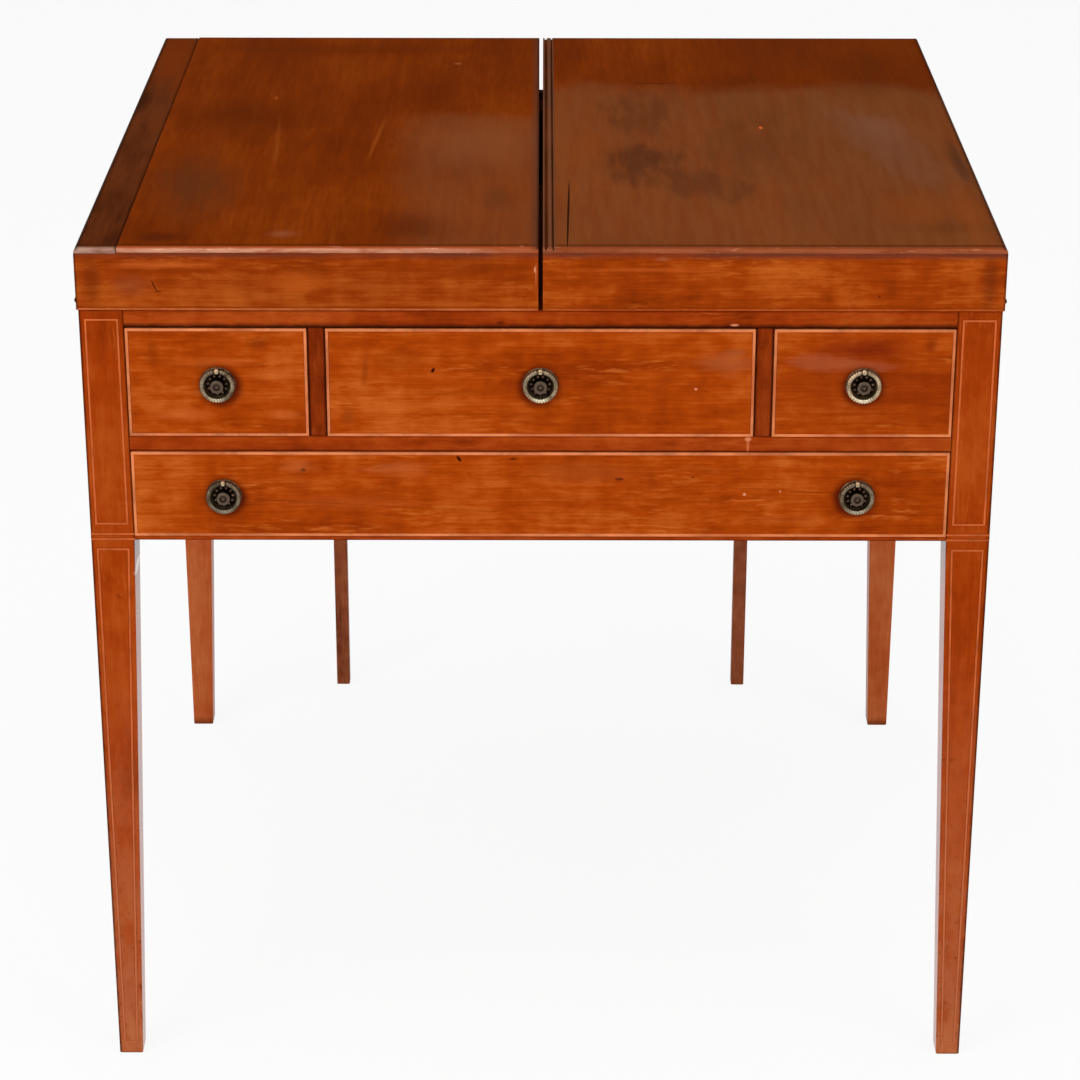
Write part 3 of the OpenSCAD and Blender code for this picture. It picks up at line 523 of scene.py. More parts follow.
# Old dirt and painted shade round the pulls: its middle and radius
PULL_DIRT_AND_SHADE = {
    "left_drawer_front": [(-292, 711, 22)], "centre_drawer_front": [(-3, 711, 21)],
    "right_drawer_front": [(294, 711, 21)], "long_drawer_front": [(-291, 601, 21), (290, 601, 21)],
}
FRONT_SEEDS = {"left_drawer_front": 3, "centre_drawer_front": 8, "right_drawer_front": 5,
               "long_drawer_front": 11}
for node, seed in FRONT_SEEDS.items():
    # Dark soft rings round each pull: old dirt and the pull's painted shade
    dirt_and_shade = [front_mark(x, z, r + 2, r + 2, (96, 22, 0), 0.85, 0.40, ragged=0.25)
            for x, z, r in PULL_DIRT_AND_SHADE[node]]
    use(wood(node + "_wood", "front", "X", seed, features=FRONT_MARKS[node] + dirt_and_shade), node)

use(wood("top_rail_wood", "rail", "X", 21, 0.7, features=[
    shade("top_rail", "-z", 6.0, (44, 8, 0), 0.95, 2.6),
    shade("top_rail", "+z", 2.5, (110, 34, 4), 0.6),
    front_mark(176, 771, 5, 1.6, (226, 140, 98)),
    front_mark(-36, 773, 5, 2, (92, 26, 2), 0.7),
]), "top_rail")
use(wood("middle_rail_wood", "rail", "X", 22, 0.7, features=[
    shade("middle_rail", "+z", 1.6, (120, 36, 2), 0.6),
    shade("middle_rail", "-z", 2.4, (84, 20, 0), 0.75),
    front_mark(191, 654, 1.9, 9, (206, 112, 64), 0.75),
    front_mark(191, 660, 4, 3, (226, 132, 88), 0.9),
    front_mark(120, 655, 14, 5, (120, 38, 2), 0.5, 0.9, ragged=0.5),
]), "middle_rail")
use(wood("bottom_rail_wood", "rail", "X", 23, 0.7, features=[
    shade("bottom_rail", "-z", 1.8, (70, 14, 0), 0.85, 0.6),
]), "bottom_rail")
for node, seed in {"divider_left": 24, "divider_right": 25}.items():
    use(wood(node + "_wood", "divider", "Z", seed, 0.7, features=[
        shade(node, "-x", 3.0, (52, 10, 0), 0.9, 1.2),
        shade(node, "+x", 3.0, (52, 10, 0), 0.9, 1.2),
        shade(node, "+z", 2.5, (70, 16, 0), 0.6),
    ]), node)


def floor_lit_worn_foot(s, colour):
    """Legs fade towards the floor, paler and blotchy: worn polish, with light from the white floor
    painted on the lower legs.
    """
    fade = s.ease(s.axis("Z"), 0.02, 0.50, 0.95, 0.0)
    blotches = s.ease(s.noise((70, 70, 34), detail=4, rough=0.7), 0.34, 0.62, 0.35, 1.0)
    colour = s.mix(s.times(fade, blotches), colour, linear(182, 98, 60))
    specks = s.ease(s.noise((230, 230, 150), detail=2), 0.64, 0.70)
    colour = s.mix(s.times(s.times(specks, fade), 0.6), colour, linear(122, 50, 20))
    # Palest at the floor: painted light from the floor over the blotchy wear
    floor_end = s.ease(s.axis("Z"), 0.0, 0.07, 0.5, 0.0)
    return s.mix(s.times(floor_end, blotches), colour, linear(206, 126, 78))


# One list serves both front legs, because a mark shows only on the leg that it lies on
for node, seed, inner, outer in (("leg_front_left", 31, "+x", "-x"),
                                 ("leg_front_right", 32, "-x", "+x")):
    use(wood(node + "_wood", "leg", "Z", seed, 0.75, side_coat=1.0, features=[
        floor_lit_worn_foot, shade(node, inner, 1.8, (60, 12, 0), 0.8, 0.8),
        shade(node, outer, 3.4, (50, 12, 0), 0.9, 2.4, "Y"),
        shade(node, "+z", 1.5, (90, 26, 2), 0.7),
        shade(node, "-z", 3.0, (86, 38, 18), 0.8, 1.6, "Y"),
        # A near-white painted highlight on the inner side of the left front leg, below the case
        mark(-375, 20, 524, 12, 24, 8, (238, 226, 216), 0.9, 0.3),
        front_mark(-395, 500, 6, 1.8, (112, 36, 4), 0.6, 0.9, 35),
        front_mark(-386, 64, 7, 1.1, (222, 162, 126), 0.75, 0.7, -28),
        front_mark(-393, 58, 5, 0.9, (214, 150, 112), 0.65, 0.7, 12),
        front_mark(-389, 128, 9, 2.6, (112, 46, 16), 0.6, 0.9, ragged=0.8),
        front_mark(-392, 300, 16, 22, (140, 50, 8), 0.4, 0.9, ragged=0.7),
        front_mark(392, 330, 14, 3.0, (118, 42, 10), 0.5, 0.9, ragged=0.8),
        front_mark(390, 470, 14, 26, (142, 50, 6), 0.4, 0.9, ragged=0.7),
    ]), node)
for node, seed in (("leg_rear_left", 33), ("leg_rear_right", 34)):
    use(wood(node + "_wood", "rear", "Z", seed, 0.8, ripples=0.12, side_coat=0.5, features=[
        shade(node, "-z", 12, (96, 40, 16), 0.7, 6),
        mark(-404, 690, 30, 6, 40, 5, (222, 150, 108), 0.75, 0.5, (0, 30, 0), 0.5),
        mark(-396, 690, 62, 5, 40, 0.9, (214, 142, 100), 0.6, 0.7, (0, -20, 0)),
    ]), node)
for node, seed in {"side_panel_left": 41, "side_panel_right": 42}.items():
    use(wood(node + "_wood", "front", "Y", seed, ripples=0.06), node)
use(wood("back_wood", "dark", "X", 43, coat=0.1, ripples=0.05), "back_panel")
use(wood("deck_wood", "top", "X", 44, ripples=0.06), "front_deck")
use(wood("basin_board_wood", "top", "X", 45, ripples=0.06), "basin_board")
use(wood("strip_wood", "dark", "Y", 46, ripples=0.06), "deck_strips")
oak_x = wood("oak_x", "oak", "X", 51, gloss=0.65, coat=0.0, ripples=0.04)
oak_y = wood("oak_y", "oak", "Y", 52, gloss=0.65, coat=0.0, ripples=0.04)
use(oak_y, "drawer_runners", "drawer_guides", "deck_bearers", "slide_guides")
use(oak_x, "dust_board")
for drawer in ("left", "centre", "right", "long"):
    use(oak_y, drawer + "_drawer_box")
    use(oak_x, drawer + "_drawer_bottom")


# Wood of the lids
def nose(rgb, upper_rgb, share, fade=(1000, 2000)):
    """The paler rounded front edge of a lid's top, worn and painted with a highlight, with a
    painted dark line of shade behind it.

    The wear is lost between the two places along X that fade gives, unless they lie off the lid.
    """
    def apply(s, colour):
        x, y, z = (s.axis(name) for name in AXES)
        front = s.ease(y, FRONT_Y + 1.5 * MM, FRONT_Y + 7.0 * MM, 1.0, 0.0)
        wear = s.ease(s.noise((17, 26, 90), detail=4, rough=0.7), 0.34, 0.58, 0.20, 1.0)
        wear = s.times(wear, s.ease(x, fade[0] * MM, fade[1] * MM, 1.0, 0.15))
        # The dark line behind the round is painted shade
        line = s.within("Y", FRONT_Y + 7.0 * MM, FRONT_Y + 8.5 * MM, 4.0 * MM)
        colour = s.mix(s.times(line, 0.60), colour, linear(72, 26, 2))
        # The pale bands along the round: worn polish and a painted highlight
        colour = s.mix(s.times(front, share * 0.9), colour, linear(*upper_rgb))
        low = s.times(front, s.ease(z, LID_TOP - 1.6 * MM, LID_TOP + 0.1 * MM, 1.0, 0.0))
        colour = s.mix(s.times(s.times(low, wear), share), colour, linear(*rgb))
        rubs = s.ease(s.noise((60, 300, 420), detail=3, rough=0.7), 0.60, 0.72)
        paler = linear(*[min(255, c + 40) for c in rgb])
        return s.mix(s.times(s.times(front, rubs), 0.6), colour, paler)
    return apply


def painted_reflection_patch(x0, x1, y0, y1, soft, rgb, share, ragged=120):
    """A streaky, soft-edged rectangle of painted reflection on a top, a paler, greyer sheen, in
    millimetres.
    """
    def mask(s):
        wobble = s.times(s.add(s.noise((9, 9, 9), (x0, y0, 0), detail=3), -0.5), ragged * MM)
        area = None
        for name, low, high in (("X", x0 * MM, x1 * MM),
                                ("Y", FRONT_Y + y0 * MM, FRONT_Y + y1 * MM)):
            value = s.add(s.axis(name), wobble)
            sides = s.times(s.ease(value, low - soft * MM, low + soft * MM),
                            s.ease(value, high - soft * MM, high + soft * MM, 1.0, 0.0))
            area = s.times(area, sides) if area else sides
        streaks = s.ease(s.noise((110, 9, 20), (x0, y0, 0), detail=4), 0.34, 0.66, 0.78, 1.1)
        upper = s.ease(s.axis("Z"), LID_TOP - 6 * MM, LID_TOP - 3 * MM)
        return s.times(s.times(area, streaks), upper)
    return tint(mask, rgb, share)


# Calmer, duller polish of the tops, which are seen at a grazing angle
TOP_POLISH = dict(coat=0.06, flecks=0.3, fine=330, ripples=0.03, clouded=0.42, level=0.003)
EDGE_POLISH = dict(TOP_POLISH, coat=0.08, clouded=0.62)

use(wood("lid_left_top_wood", "top", "Y", 61, 0.8, **TOP_POLISH, features=[
    # Painted reflection: a paler, greyer sheen over the middle of the left lid
    painted_reflection_patch(-128, 40, -60, 436, 26, (126, 72, 38), 0.42, 80),
    top_mark(-60, 330, 90, 120, (134, 80, 46), 0.35, 0.9, 0, 0.6),
    top_mark(-330, 190, 62, 150, (84, 46, 22), 0.60, 0.9, 6, 0.8),
    top_mark(-300, 420, 90, 110, (80, 30, 3), 0.55, 0.9, 10, 0.8),
    top_mark(-118, 60, 46, 60, (84, 34, 10), 0.55, 0.9, 0, 1.0),
    top_mark(-344, 30, 40, 24, (74, 26, 6), 0.7, 0.9, 0, 0.6),
    top_mark(-40, 150, 26, 60, (96, 48, 22), 0.5, 0.9, 0, 0.8),
    top_mark(-200, 700, 300, 30, (96, 36, 4), 0.4, 0.9),
    top_mark(-235, 40, 20, 16, (150, 90, 60), 0.35, 0.9, 0, 0.6),
    top_mark(-276, 500, 2.5, 8, (150, 78, 26), 0.8),
    top_mark(-90, 640, 6, 5, (156, 100, 62), 0.6, 0.8, 30),
    top_mark(-164, 350, 3.5, 110, (158, 78, 24), 0.45, 0.9, -4, 0.5),
    top_mark(-262, 330, 4, 130, (146, 72, 22), 0.40, 0.9, 3, 0.6),
    top_mark(-17, 5, 3, 4, (186, 136, 106), 0.6, 0.7),
    nose((204, 144, 114), (160, 72, 32), 0.95, (-170, 10)),
    shade("lid_left_top", "+y", 8, (36, 8, 0), 0.9, 2, "Z"),
    shade("lid_left_top", "+x", 10, (78, 50, 38), 0.65, 1, "Z"),
    shade("lid_left_top", "+x", 3, (50, 18, 4), 0.7, face="Z"),
]), "lid_left_top")
use(wood("lid_left_edge_board_wood", "edge", "Y", 63, 0.9, **EDGE_POLISH, features=[
    top_mark(-400, 690, 40, 230, (118, 45, 3), 0.75, 0.9, 0, 0.5),
    top_mark(-392, 420, 12, 60, (112, 48, 12), 0.3, 0.9, 0, 0.6),
    top_mark(-384, 560, 12, 100, (118, 46, 6), 0.5, 0.9, 0, 0.6),
    top_mark(-413, 500, 12, 90, (40, 14, 3), 0.7, 0.9, 0, 0.6),
    nose((182, 142, 124), (120, 74, 52), 0.90),
    shade("lid_left_edge_board", "+y", 8, (36, 8, 0), 0.9, 2, "Z"),
    shade("lid_left_edge_board", "-x", 7, (20, 5, 0), 0.95, 2, "Z"),
    shade("lid_left_edge_board", "+x", 3, (40, 12, 2), 0.6, face="Z"),
]), "lid_left_edge_board")
use(wood("lid_right_top_wood", "top", "Y", 62, 0.85, **TOP_POLISH, features=[
    tint(lambda s: s.ease(s.axis("X"), 0.05, 0.36), (94, 38, 3), 0.5),
    # Painted reflection: a paler, greyer sheen over most of the right lid
    painted_reflection_patch(-40, 470, -60, 532, 38, (124, 74, 40), 0.52, 170),
    top_mark(98, 262, 48, 86, (66, 34, 18), 0.60, 0.9, 0, 2.2),
    top_mark(150, 190, 74, 64, (78, 40, 20), 0.50, 0.9, 0, 2.2),
    top_mark(104, 440, 48, 110, (84, 44, 20), 0.50, 0.9, 0, 2.2),
    top_mark(200, 330, 70, 180, (88, 46, 22), 0.35, 0.9, 0, 2.2),
    # A paler oval in the painted reflection
    top_mark(340, 340, 56, 210, (116, 76, 54), 0.42, 0.9, 16, 1.6),
    top_mark(346, 400, 40, 90, (128, 88, 68), 0.22, 0.9, 16, 1.2),
    top_mark(408, 270, 11, 110, (62, 38, 24), 0.6, 0.9, 2, 0.7),
    top_mark(376, 60, 70, 26, (84, 42, 16), 0.3, 0.9, 0, 1.4),
    top_mark(352, 120, 60, 70, (134, 62, 16), 0.38, 0.9, 0, 0.9),
    top_mark(398, 100, 20, 140, (140, 68, 22), 0.45, 0.9, 0, 0.7),
    top_mark(50, 330, 22, 150, (138, 66, 18), 0.35, 0.9, 0, 0.8),
    top_mark(222, 391, 2.6, 6, (206, 100, 44), 0.95),
    top_mark(120, 560, 46, 5, (84, 30, 4), 0.7, 0.8, 0, 0.5),
    top_mark(25.5, 100, 1.1, 118, (38, 12, 4), 0.9, 0.2, -0.9),
    nose((158, 84, 52), (134, 62, 32), 0.90),
    shade("lid_right_top", "+y", 8, (36, 8, 0), 0.9, 2, "Z"),
    shade("lid_right_top", "+x", 7, (24, 7, 1), 0.95, 2, "Z"),
]), "lid_right_top")
use(wood("bead_wood", "edge", "Y", 64, 0.6, **EDGE_POLISH, features=[
    nose((160, 92, 64), (126, 60, 32), 0.9),
    # Painted highlight along the crests of the beads
    tint(lambda s: s.ease(s.axis("Z"), LID_TOP - 0.9 * MM, LID_TOP - 0.1 * MM),
         (124, 80, 58), 0.5),
    shade("lid_right_bead_strip", "+y", 8, (36, 8, 0), 0.8, 2, "Z"),
]), "lid_right_bead_strip")


def lid_edge(rgb, share):
    """The pale worn lower arris of a lid's front."""
    def apply(s, colour):
        worn = s.ease(s.noise((30, 30, 30), detail=4, rough=0.7), 0.36, 0.62, 0.40, 1.1)
        line = s.within("Z", LID_LOW, LID_LOW + 1.5 * MM, 0.6 * MM)
        above = s.within("Z", LID_LOW + 2.0 * MM, LID_LOW + 3.4 * MM, 1.2 * MM)
        colour = s.mix(s.times(above, 0.35), colour, linear(104, 34, 2))
        return s.mix(s.times(s.times(line, worn), share), colour, linear(*rgb))
    return apply


def under_nose(s, colour):
    """Grey-purple bloom and shadow under the rounded edge of the top."""
    cloud = s.ease(s.noise((13, 13, 26), detail=3, rough=0.6), 0.34, 0.60, 0.45, 1.0)
    band = s.ease(s.axis("Z"), LID_TOP - 12 * MM, LID_TOP - 5 * MM)
    return s.mix(s.times(band, cloud), colour, linear(112, 52, 34))


use(wood("lid_left_end_rails_wood", "lid", "X", 65, 1.0, features=[
    under_nose,
    front_mark(-210, 812, 340, 80, (112, 38, 4), 0.34, 0.9),
    front_mark(-405, 815, 14, 40, (104, 36, 6), 0.6, 0.9, ragged=0.4),
    front_mark(-60, 826, 60, 10, (124, 44, 4), 0.45, 0.9, ragged=0.7),
    front_mark(-340, 828, 60, 5, (206, 98, 38), 0.5, 0.9, ragged=0.8),
    front_mark(-214, 812, 40, 16, (196, 92, 26), 0.55, 0.9, ragged=0.7),
    front_mark(-370, 808, 26, 16, (150, 78, 44), 0.4, 0.9, ragged=0.5),
    front_mark(-348.5, 808, 0.9, 8, (70, 22, 6), 0.85, 0.4, -22),
    front_mark(-345, 803, 3.4, 0.9, (70, 22, 6), 0.7, 0.4),
    front_mark(-5, 824, 1.5, 4, (226, 150, 104), 0.8),
    front_mark(-4.2, 820, 0.8, 15, (206, 116, 74), 0.6),
    lid_edge((206, 110, 60), 0.75),
    shade("lid_left_end_rails", "-x", 3, (50, 14, 4), 0.8, 2, "Y"),
]), "lid_left_end_rails")
use(wood("lid_right_end_rails_wood", "lid", "X", 66, 1.0, features=[
    under_nose,
    front_mark(316, 806, 12, 14, (118, 38, 4), 0.55, 0.9, ragged=0.8),
    front_mark(405, 812, 12, 40, (96, 36, 10), 0.6, 0.9, ragged=0.4),
    front_mark(110, 834, 12, 4, (186, 110, 76), 0.35, 0.9, ragged=1.6),
    front_mark(90, 824, 110, 4, (200, 92, 30), 0.45, 0.9, ragged=0.8),
    front_mark(306, 799, 1.6, 1.4, (70, 20, 4)),
    front_mark(0, 832, 2.4, 2.2, (214, 150, 110)),
    lid_edge((190, 86, 36), 0.65),
    shade("lid_right_end_rails", "+x", 3, (50, 14, 4), 0.8, 2, "Y"),
]), "lid_right_end_rails")
for node, seed in {"lid_left_side_rails": 67, "lid_right_side_rail": 68}.items():
    use(wood(node + "_wood", "lid", "Y", seed, features=[lid_edge((200, 110, 66), 0.7)]), node)

# Towel horse
use(wood("upright_wood", "horse", "Z", 71), "towel_uprights")
use(wood("towel_rail_wood", "horse", "X", 72), "towel_rails_and_arms")

# Lines and metal
dulled = tint(lambda s: s.ease(s.noise((16, 16, 16), detail=4), 0.42, 0.62),
              (188, 88, 42), 0.62)
use(line_wood("drawer_line", (224, 130, 80), 81, features=[dulled]), *[
    d + "_drawer_stringing" for d in ("left", "centre", "right", "long")])
dimmed = tint(lambda s: s.ease(s.axis("Z"), 0.10, 0.50, 1.0, 0.0), (198, 108, 68), 0.85)
use(line_wood("leg_line", (204, 98, 46), 82, features=[dimmed]), "leg_stringing")
iron = metal("iron", (14, 12, 10), (44, 38, 32), 0.5, 91)
use(iron, "case_hinge_leaves", "hinge_pins", "lid_left_hinge_leaves", "lid_right_hinge_leaves")
worn_brass = metal("worn_brass", (150, 124, 88), (226, 202, 164), 0.28, 94)
petal_brass = metal("petal_brass", (96, 66, 50), (170, 128, 104), 0.35, 95)
steel = metal("steel", (54, 48, 42), (120, 108, 94), 0.4, 96, grain=500)


# Each pull: its place, the node of its rosette, the body of its drawer, the body and node of its
# ring, the tone of the ring's brass, and the strength of the painted glint on its lower arc
Pull = namedtuple("Pull", "name x z plate drawer ring_body ring_node tone glint")
PULLS = [
    Pull("left_drawer", -295.0, 713.0, "left_drawer_plate", "drawer_left",
         "ring_left", "left_drawer_ring", 0.88, 0.45),
    Pull("centre_drawer", 0.0, 713.0, "centre_drawer_plate", "drawer_centre",
         "ring_centre", "centre_drawer_ring", 0.96, 0.9),
    Pull("right_drawer", 295.0, 713.0, "right_drawer_plate", "drawer_right",
         "ring_right", "right_drawer_ring", 1.22, 0.9),
    Pull("long_drawer_left", -293.0, 602.75, "long_drawer_plates", "drawer_long",
         "ring_long_left", "long_drawer_ring_left", 0.74, 0.2),
    Pull("long_drawer_right", 293.0, 602.75, "long_drawer_plates", "drawer_long",
         "ring_long_right", "long_drawer_ring_right", 0.86, 0.3),
]


def rosette_patina_and_painted_light(x, z):
    """Black grime in a rosette's hollow, a paler knob and dot painted as a highlight, and a painted
    shade groove round the dot.
    """
    def face(radius):
        return lambda s: s.spot(spot_on(x, -9, z), (radius * MM, 3 * MM, radius * MM), 0.25)
    return [mark(x, -0.9, z, 12.0, 1.7, 12.0, (10, 7, 5), 0.95, 0.15),
            # Pale knob face and dot: painted highlight; dark ring round the dot: painted shade
            tint(face(7.0), (100, 84, 72), 0.9), tint(face(4.0), (26, 18, 14), 0.8),
            tint(face(2.3), (122, 94, 78), 0.9)]


for node in dict.fromkeys(pull.plate for pull in PULLS):
    patina_and_painted_light = [feature for pull in PULLS if pull.plate == node
              for feature in rosette_patina_and_painted_light(pull.x, pull.z)]
    use(metal(node + "_brass", (52, 40, 28), (124, 102, 76), 0.42, 92, grain=160,
              features=patina_and_painted_light), node)

soften(0.7 * MM, "left_drawer_front", "centre_drawer_front", "right_drawer_front",
       "long_drawer_front", "top_rail", "middle_rail", "bottom_rail", "divider_left",
       "divider_right", "leg_front_left", "leg_front_right", "leg_rear_left", "leg_rear_right",
       "side_panel_left", "side_panel_right", "back_panel", "front_deck", "basin_board",
       "deck_strips", "lid_left_end_rails", "lid_right_end_rails", "lid_left_side_rails",
       "lid_right_side_rail", "towel_uprights", "towel_rails_and_arms")
soften(0.4 * MM, "lid_left_top", "lid_right_top", "lid_left_edge_board", "lid_right_bead_strip",
       "left_drawer_stringing", "centre_drawer_stringing", "right_drawer_stringing",
       "long_drawer_stringing")

# Ring pulls, in millimetres, as in the CAD: the ring, its bar and the thin neck in the lug
RING_R = 14.0
BAR_R = 2.4
NECK_R = 1.3
LUG_HALF = 2.8
LUG_R = 2.6
# How far the ring's axis lies before the drawer front
RING_OUT = 4.6
# Beads along the bar: how many, their sections, and how deep the grooves between them are
BEADS = 34
BEAD_STEPS = 10
BAR_SIDES = 16
NECK_SIDES = 12
GROOVE_DEPTH = 0.20
# Dark and pale brass of a ring, 0-255 sRGB
RING_BRASS = ((108, 90, 68), (184, 164, 134))
# Section of the collar on the lug: places along it and how far it rises
SLEEVE = ((-1.5, 0.02), (-1.3, 0.22), (-0.5, 0.34), (0.5, 0.34), (1.3, 0.22), (1.5, 0.02))
SLEEVE_FIT = 0.005
# Petals of a rosette: how many, the circle they stand on, their half length and width, and
# their section as levels above the drawer front and sizes
PETALS = 11
PETAL_R = 8.6
PETAL_L = 1.5
PETAL_W = 1.15
PETAL_SECTION = ((0.8, 1.0), (1.5, 1.0), (2.1, 0.72), (2.4, 0.25))


def ring_metal(pull):
    """Brass of a ring: dark in the grooves between its beads, patina with painted shade, and a
    painted glint on its lower arc.
    """
    low, high = ([min(255, int(c * pull.tone)) for c in rgb] for rgb in RING_BRASS)

    # Painted glint where the lower arc of the ring catches the light
    def painted_glint(s):
        return s.spot(spot_on(pull.x, -RING_OUT, pull.z - RING_R + 1),
                      [r * MM for r in (11, 8, 8)], 0.8)

    def grooves(s):
        return s.node("ShaderNodeAttribute", attribute_name="groove").outputs["Fac"]

    return metal(pull.name + "_ring_brass", low, high, 0.34, 93, grain=90, features=[
        tint(painted_glint, (240, 226, 194), pull.glint), tint(grooves, (40, 30, 20), 0.85)])


def circle(radius, sides, place):
    """Points of a circle, each placed by a function of its two coordinates."""
    turns = [2 * math.pi * j / sides for j in range(sides)]
    return [place(radius * math.cos(a), radius * math.sin(a)) for a in turns]


def beaded_ring(x, z):
    """The ring of a pull, with the depth of its grooves: beads along the bar, a thin neck."""
    open_half = math.asin(LUG_HALF / (RING_R - BAR_R))
    steps = BEADS * BEAD_STEPS
    rings, groove = [], []
    for i in range(steps + 1):
        angle = open_half + (2 * math.pi - 2 * open_half) * i / steps
        bead = abs(math.sin(math.pi * i / BEAD_STEPS)) ** 0.6
        bar = BAR_R * (1 - GROOVE_DEPTH + GROOVE_DEPTH * bead)
        rings.append(circle(bar, BAR_SIDES, lambda a, b: spot_on(
            x + (RING_R + a) * math.sin(angle), b - RING_OUT, z + (RING_R + a) * math.cos(angle))))
        groove += [max(0.0, 1 - 1.8 * bead)] * BAR_SIDES
    neck_x = RING_R * math.tan(open_half) + NECK_R / 2
    neck = [circle(NECK_R, NECK_SIDES, lambda a, b: spot_on(x + end, a - RING_OUT, z + RING_R + b))
            for end in (-neck_x, neck_x)]
    return joined([swept(rings), swept(neck)]), groove + [0.0] * (2 * NECK_SIDES)


def lug_sleeve(x, z):
    """A bright collar round the middle of the lug that carries the ring."""
    inner = [(SLEEVE[-1][0], SLEEVE_FIT), (SLEEVE[0][0], SLEEVE_FIT)]
    return swept([circle(LUG_R + rise, 24, lambda a, b: spot_on(
        x + at, a - RING_OUT, z + RING_R + b)) for at, rise in (*SLEEVE, *inner)], closed=True)


def petal_ring(x, z):
    """Small raised petals round the knob, in the hollow of the rosette."""
    parts = []
    for i in range(PETALS):
        turn = 2 * math.pi * (i + 0.5) / PETALS
        rings = []
        for level, size in PETAL_SECTION:
            rings.append(circle(size, 10, lambda a, b: spot_on(
                x + (PETAL_R + PETAL_L * a) * math.sin(turn) + PETAL_W * b * math.cos(turn),
                -level,
                z + (PETAL_R + PETAL_L * a) * math.cos(turn) - PETAL_W * b * math.sin(turn))))
        parts.append(swept(rings))
    return joined(parts)


for pull in PULLS:
    name, node, place = pull.name, pull.ring_node, (pull.x, pull.z)
    (verts, faces), groove = beaded_ring(*place)
    ring = mesh_piece(name + "_beaded_ring", verts, faces, pull.ring_body, ring_metal(pull),
                      "brass", groove=groove)
    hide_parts(node)
    mesh_piece(name + "_lug_sleeve", *lug_sleeve(*place), pull.drawer, worn_brass, "brass")
    mesh_piece(name + "_petals", *petal_ring(*place), pull.drawer, petal_brass, "dark_brass")


# Screws of the hinges, in millimetres: where each hinge starts and its screws along it
SCREW_X = 413.0
HINGE_STARTS = (26.5, 676.5)
HINGE_L = 50
SCREW_STEPS = (HINGE_L / 6, HINGE_L / 2, HINGE_L * 5 / 6)
CASE_LEAF_Z = 784.6
LID_LEAF_Z = 785.0
# A head's radius, and how deep its underside, the floor of its slot and its face lie
SCREW_R = 1.5
HEAD_DEPTHS = (1.1, 0.5, 0.1)
# Half of the angle that a slot takes at the rim, in degrees, and the steps of a half-moon's arc
SLOT_HALF = 12
ARC_STEPS = 10


def screw_head(x, y, z, up):
    """A slotted screw head in a hole of a hinge leaf: a disc and two half-moons beside its slot."""
    # Each slot is turned another way
    turn = math.radians(37 * x + 53 * y)
    parts = [swept([circle(SCREW_R, 20, lambda a, b: spot_on(x + a, y + b, z - up * depth))
                    for depth in HEAD_DEPTHS[:2]])]
    for side in (0, math.pi):
        arc = [math.radians(SLOT_HALF + (180 - 2 * SLOT_HALF) * j / ARC_STEPS) + turn + side
               for j in range(ARC_STEPS + 1)]
        parts.append(swept([[
            spot_on(x + SCREW_R * math.cos(a), y + SCREW_R * math.sin(a), z - up * depth)
            for a in arc] for depth in HEAD_DEPTHS[1:]]))
    return joined(parts)


for body, sides, z, up in (("case", (-1, 1), CASE_LEAF_Z, 1), ("lid_left", (-1,), LID_LEAF_Z, -1),
                           ("lid_right", (1,), LID_LEAF_Z, -1)):
    heads = [screw_head(side * SCREW_X, start + step, z, up)
             for side in sides for start in HINGE_STARTS for step in SCREW_STEPS]
    mesh_piece(body + "_hinge_screws", *joined(heads), body, steel, "iron", smooth=False)


# Studio, in metres: each lamp's place, target, size and power
LAMPS = {
    "key": ((-2.2, -2.6, 2.6), (0, 0, 0.6), 2.2, 60),
    "fill": ((2.4, -2.4, 2.0), (0, 0, 0.5), 2.2, 34),
    "overhead": ((0, -0.4, 3.6), (0, 0, 0.8), 2.4, 26),
}
# The world is dark up to a little above the horizon, so that the tops mirror no white
WORLD_LEVELS = ((0.40, 0.03), (0.62, 0.55), (1.0, 0.75))
# A round floor ends in a low wall that hides the world's dark edge. Both give off the share of
# white that they are short of, only to rays that show them, and more of it far away.
FLOOR_RADIUS = 29.0
WALL_HEIGHT = 3.0
WHITE_NEAR = (4.0, 0.9)
WHITE_FAR = (24.0, 0.97)


def softbox(name, place, target, size, watts):
    """A large soft lamp aimed at a point."""
    data = bpy.data.lights.new(name, "AREA")
    data.size = size
    data.energy = watts
    lamp = bpy.data.objects.new(name, data)
    bpy.context.scene.collection.objects.link(lamp)
    lamp.location = place
    lamp.rotation_euler = (Vector(target) - Vector(place)).to_track_quat("-Z", "Y").to_euler()


def photo_camera():
    """The camera of the photograph."""
    data = bpy.data.cameras.new("camera")
    camera = bpy.data.objects.new("camera", data)
    bpy.context.scene.collection.objects.link(camera)
    data.sensor_width = 36
    data.lens = CAMERA_LENS
    data.shift_y = CAMERA_SHIFT
    data.clip_end = 200
    camera.matrix_world = (
        Matrix.Translation((CAMERA_X, FRONT_Y - CAMERA_BEFORE_FRONT, CAMERA_HEIGHT))
        @ Matrix.Rotation(math.radians(CAMERA_YAW), 4, "Z")
        @ Matrix.Rotation(math.radians(90 - CAMERA_PITCH), 4, "X")
        @ Matrix.Rotation(math.radians(CAMERA_ROLL), 4, "Z"))
    bpy.context.scene.camera = camera


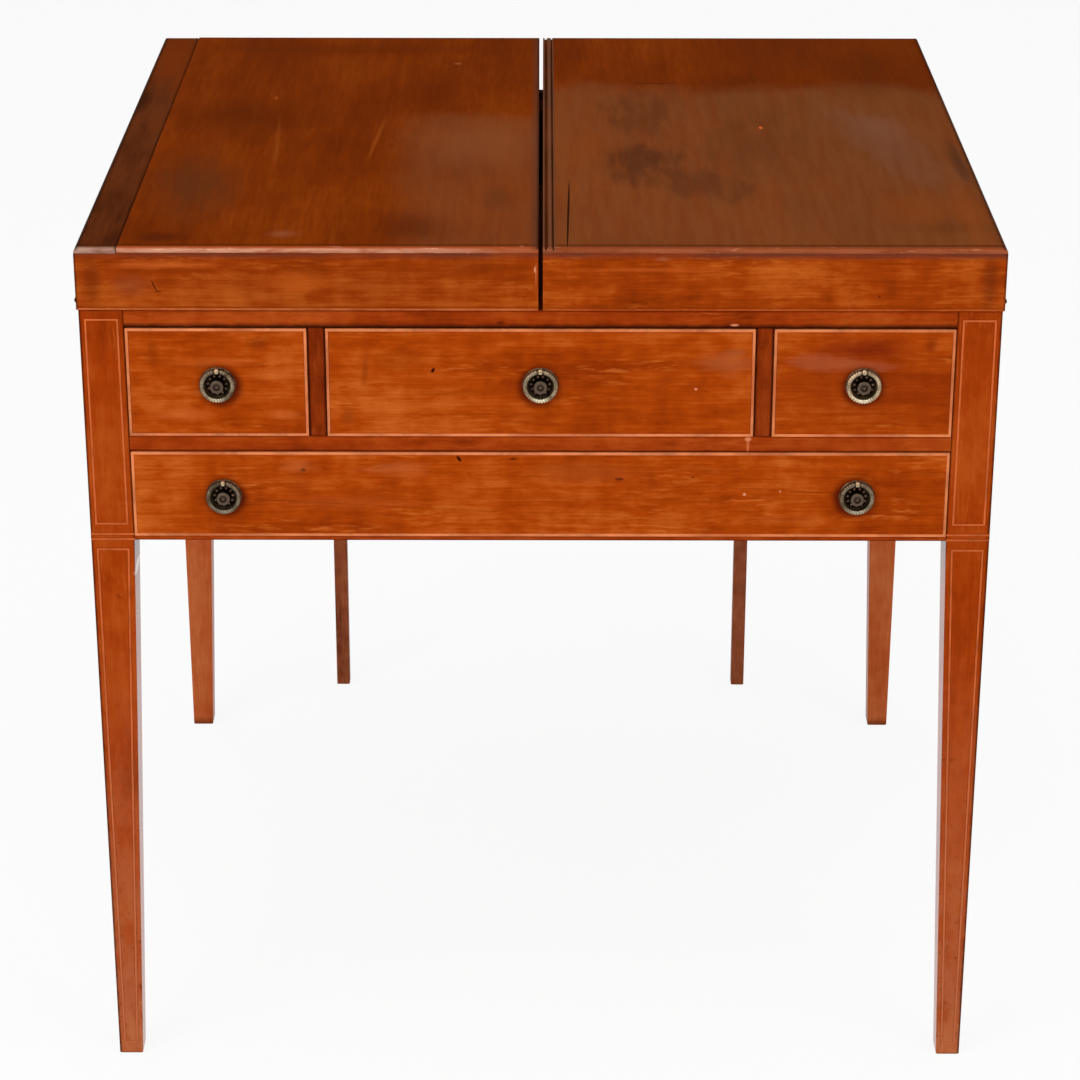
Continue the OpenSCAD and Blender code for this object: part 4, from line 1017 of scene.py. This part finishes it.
def studio_world():
    """Soft white light from above that fades towards the horizon."""
    world = bpy.data.worlds.new("world")
    bpy.context.scene.world = world
    world.use_nodes = True
    tree = world.node_tree
    background = tree.nodes["Background"]
    place = tree.nodes.new("ShaderNodeTexCoord")
    split = tree.nodes.new("ShaderNodeSeparateXYZ")
    tree.links.new(place.outputs["Generated"], split.inputs[0])
    ramp = tree.nodes.new("ShaderNodeValToRGB")
    tree.links.new(split.outputs["Z"], ramp.inputs[0])
    stops = ramp.color_ramp.elements
    stops.new(0.5)
    for stop, (at, level) in zip(stops, WORLD_LEVELS):
        stop.position = at
        stop.color = (level, level, level, 1)
    tree.links.new(ramp.outputs[0], background.inputs["Color"])
    background.inputs["Strength"].default_value = 1.0


def floor_white():
    """Material of the floor: pale, matt, and near white where it is seen or mirrored."""
    s = Shader("floor")
    s.surface.inputs["Base Color"].default_value = (0.9, 0.9, 0.9, 1)
    s.surface.inputs["Roughness"].default_value = 0.9
    s.surface.inputs["Specular IOR Level"].default_value = 0.0
    white = s.node("ShaderNodeEmission")
    white.inputs["Strength"].default_value = 1.0
    seen = s.node("ShaderNodeLightPath")
    rays = s.math("MAXIMUM", seen.outputs["Is Camera Ray"], seen.outputs["Is Glossy Ray"])
    rays = s.math("MAXIMUM", rays, seen.outputs["Is Transmission Ray"])
    away = s.node("ShaderNodeVectorMath", operation="LENGTH")
    s.feed(away.inputs[0], s.place)
    (near, near_share), (far, far_share) = WHITE_NEAR, WHITE_FAR
    share = s.times(rays, s.ease(away.outputs["Value"], near, far, near_share, far_share))
    blend = s.node("ShaderNodeMixShader")
    s.feed(blend.inputs[0], share)
    links = s.tree.links
    links.new(s.surface.outputs[0], blend.inputs[1])
    links.new(white.outputs[0], blend.inputs[2])
    links.new(blend.outputs[0], s.tree.nodes["Material Output"].inputs["Surface"])
    return s.material


def studio():
    """Camera, lamps, world and floor."""
    bpy.context.scene.view_settings.view_transform = "Standard"
    photo_camera()
    for name, settings in LAMPS.items():
        softbox(name, *settings)
    studio_world()
    rim = [circle(FLOOR_RADIUS, 96, lambda a, b: (a, b, z)) for z in (0.0, WALL_HEIGHT)]
    verts, faces = swept(rim)
    data = bpy.data.meshes.new("floor")
    data.from_pydata(verts, [], faces[:-1])
    data.materials.append(floor_white())
    floor = bpy.data.objects.new("floor", data)
    bpy.context.scene.collection.objects.link(floor)


studio()

bpy.context.view_layer.update()
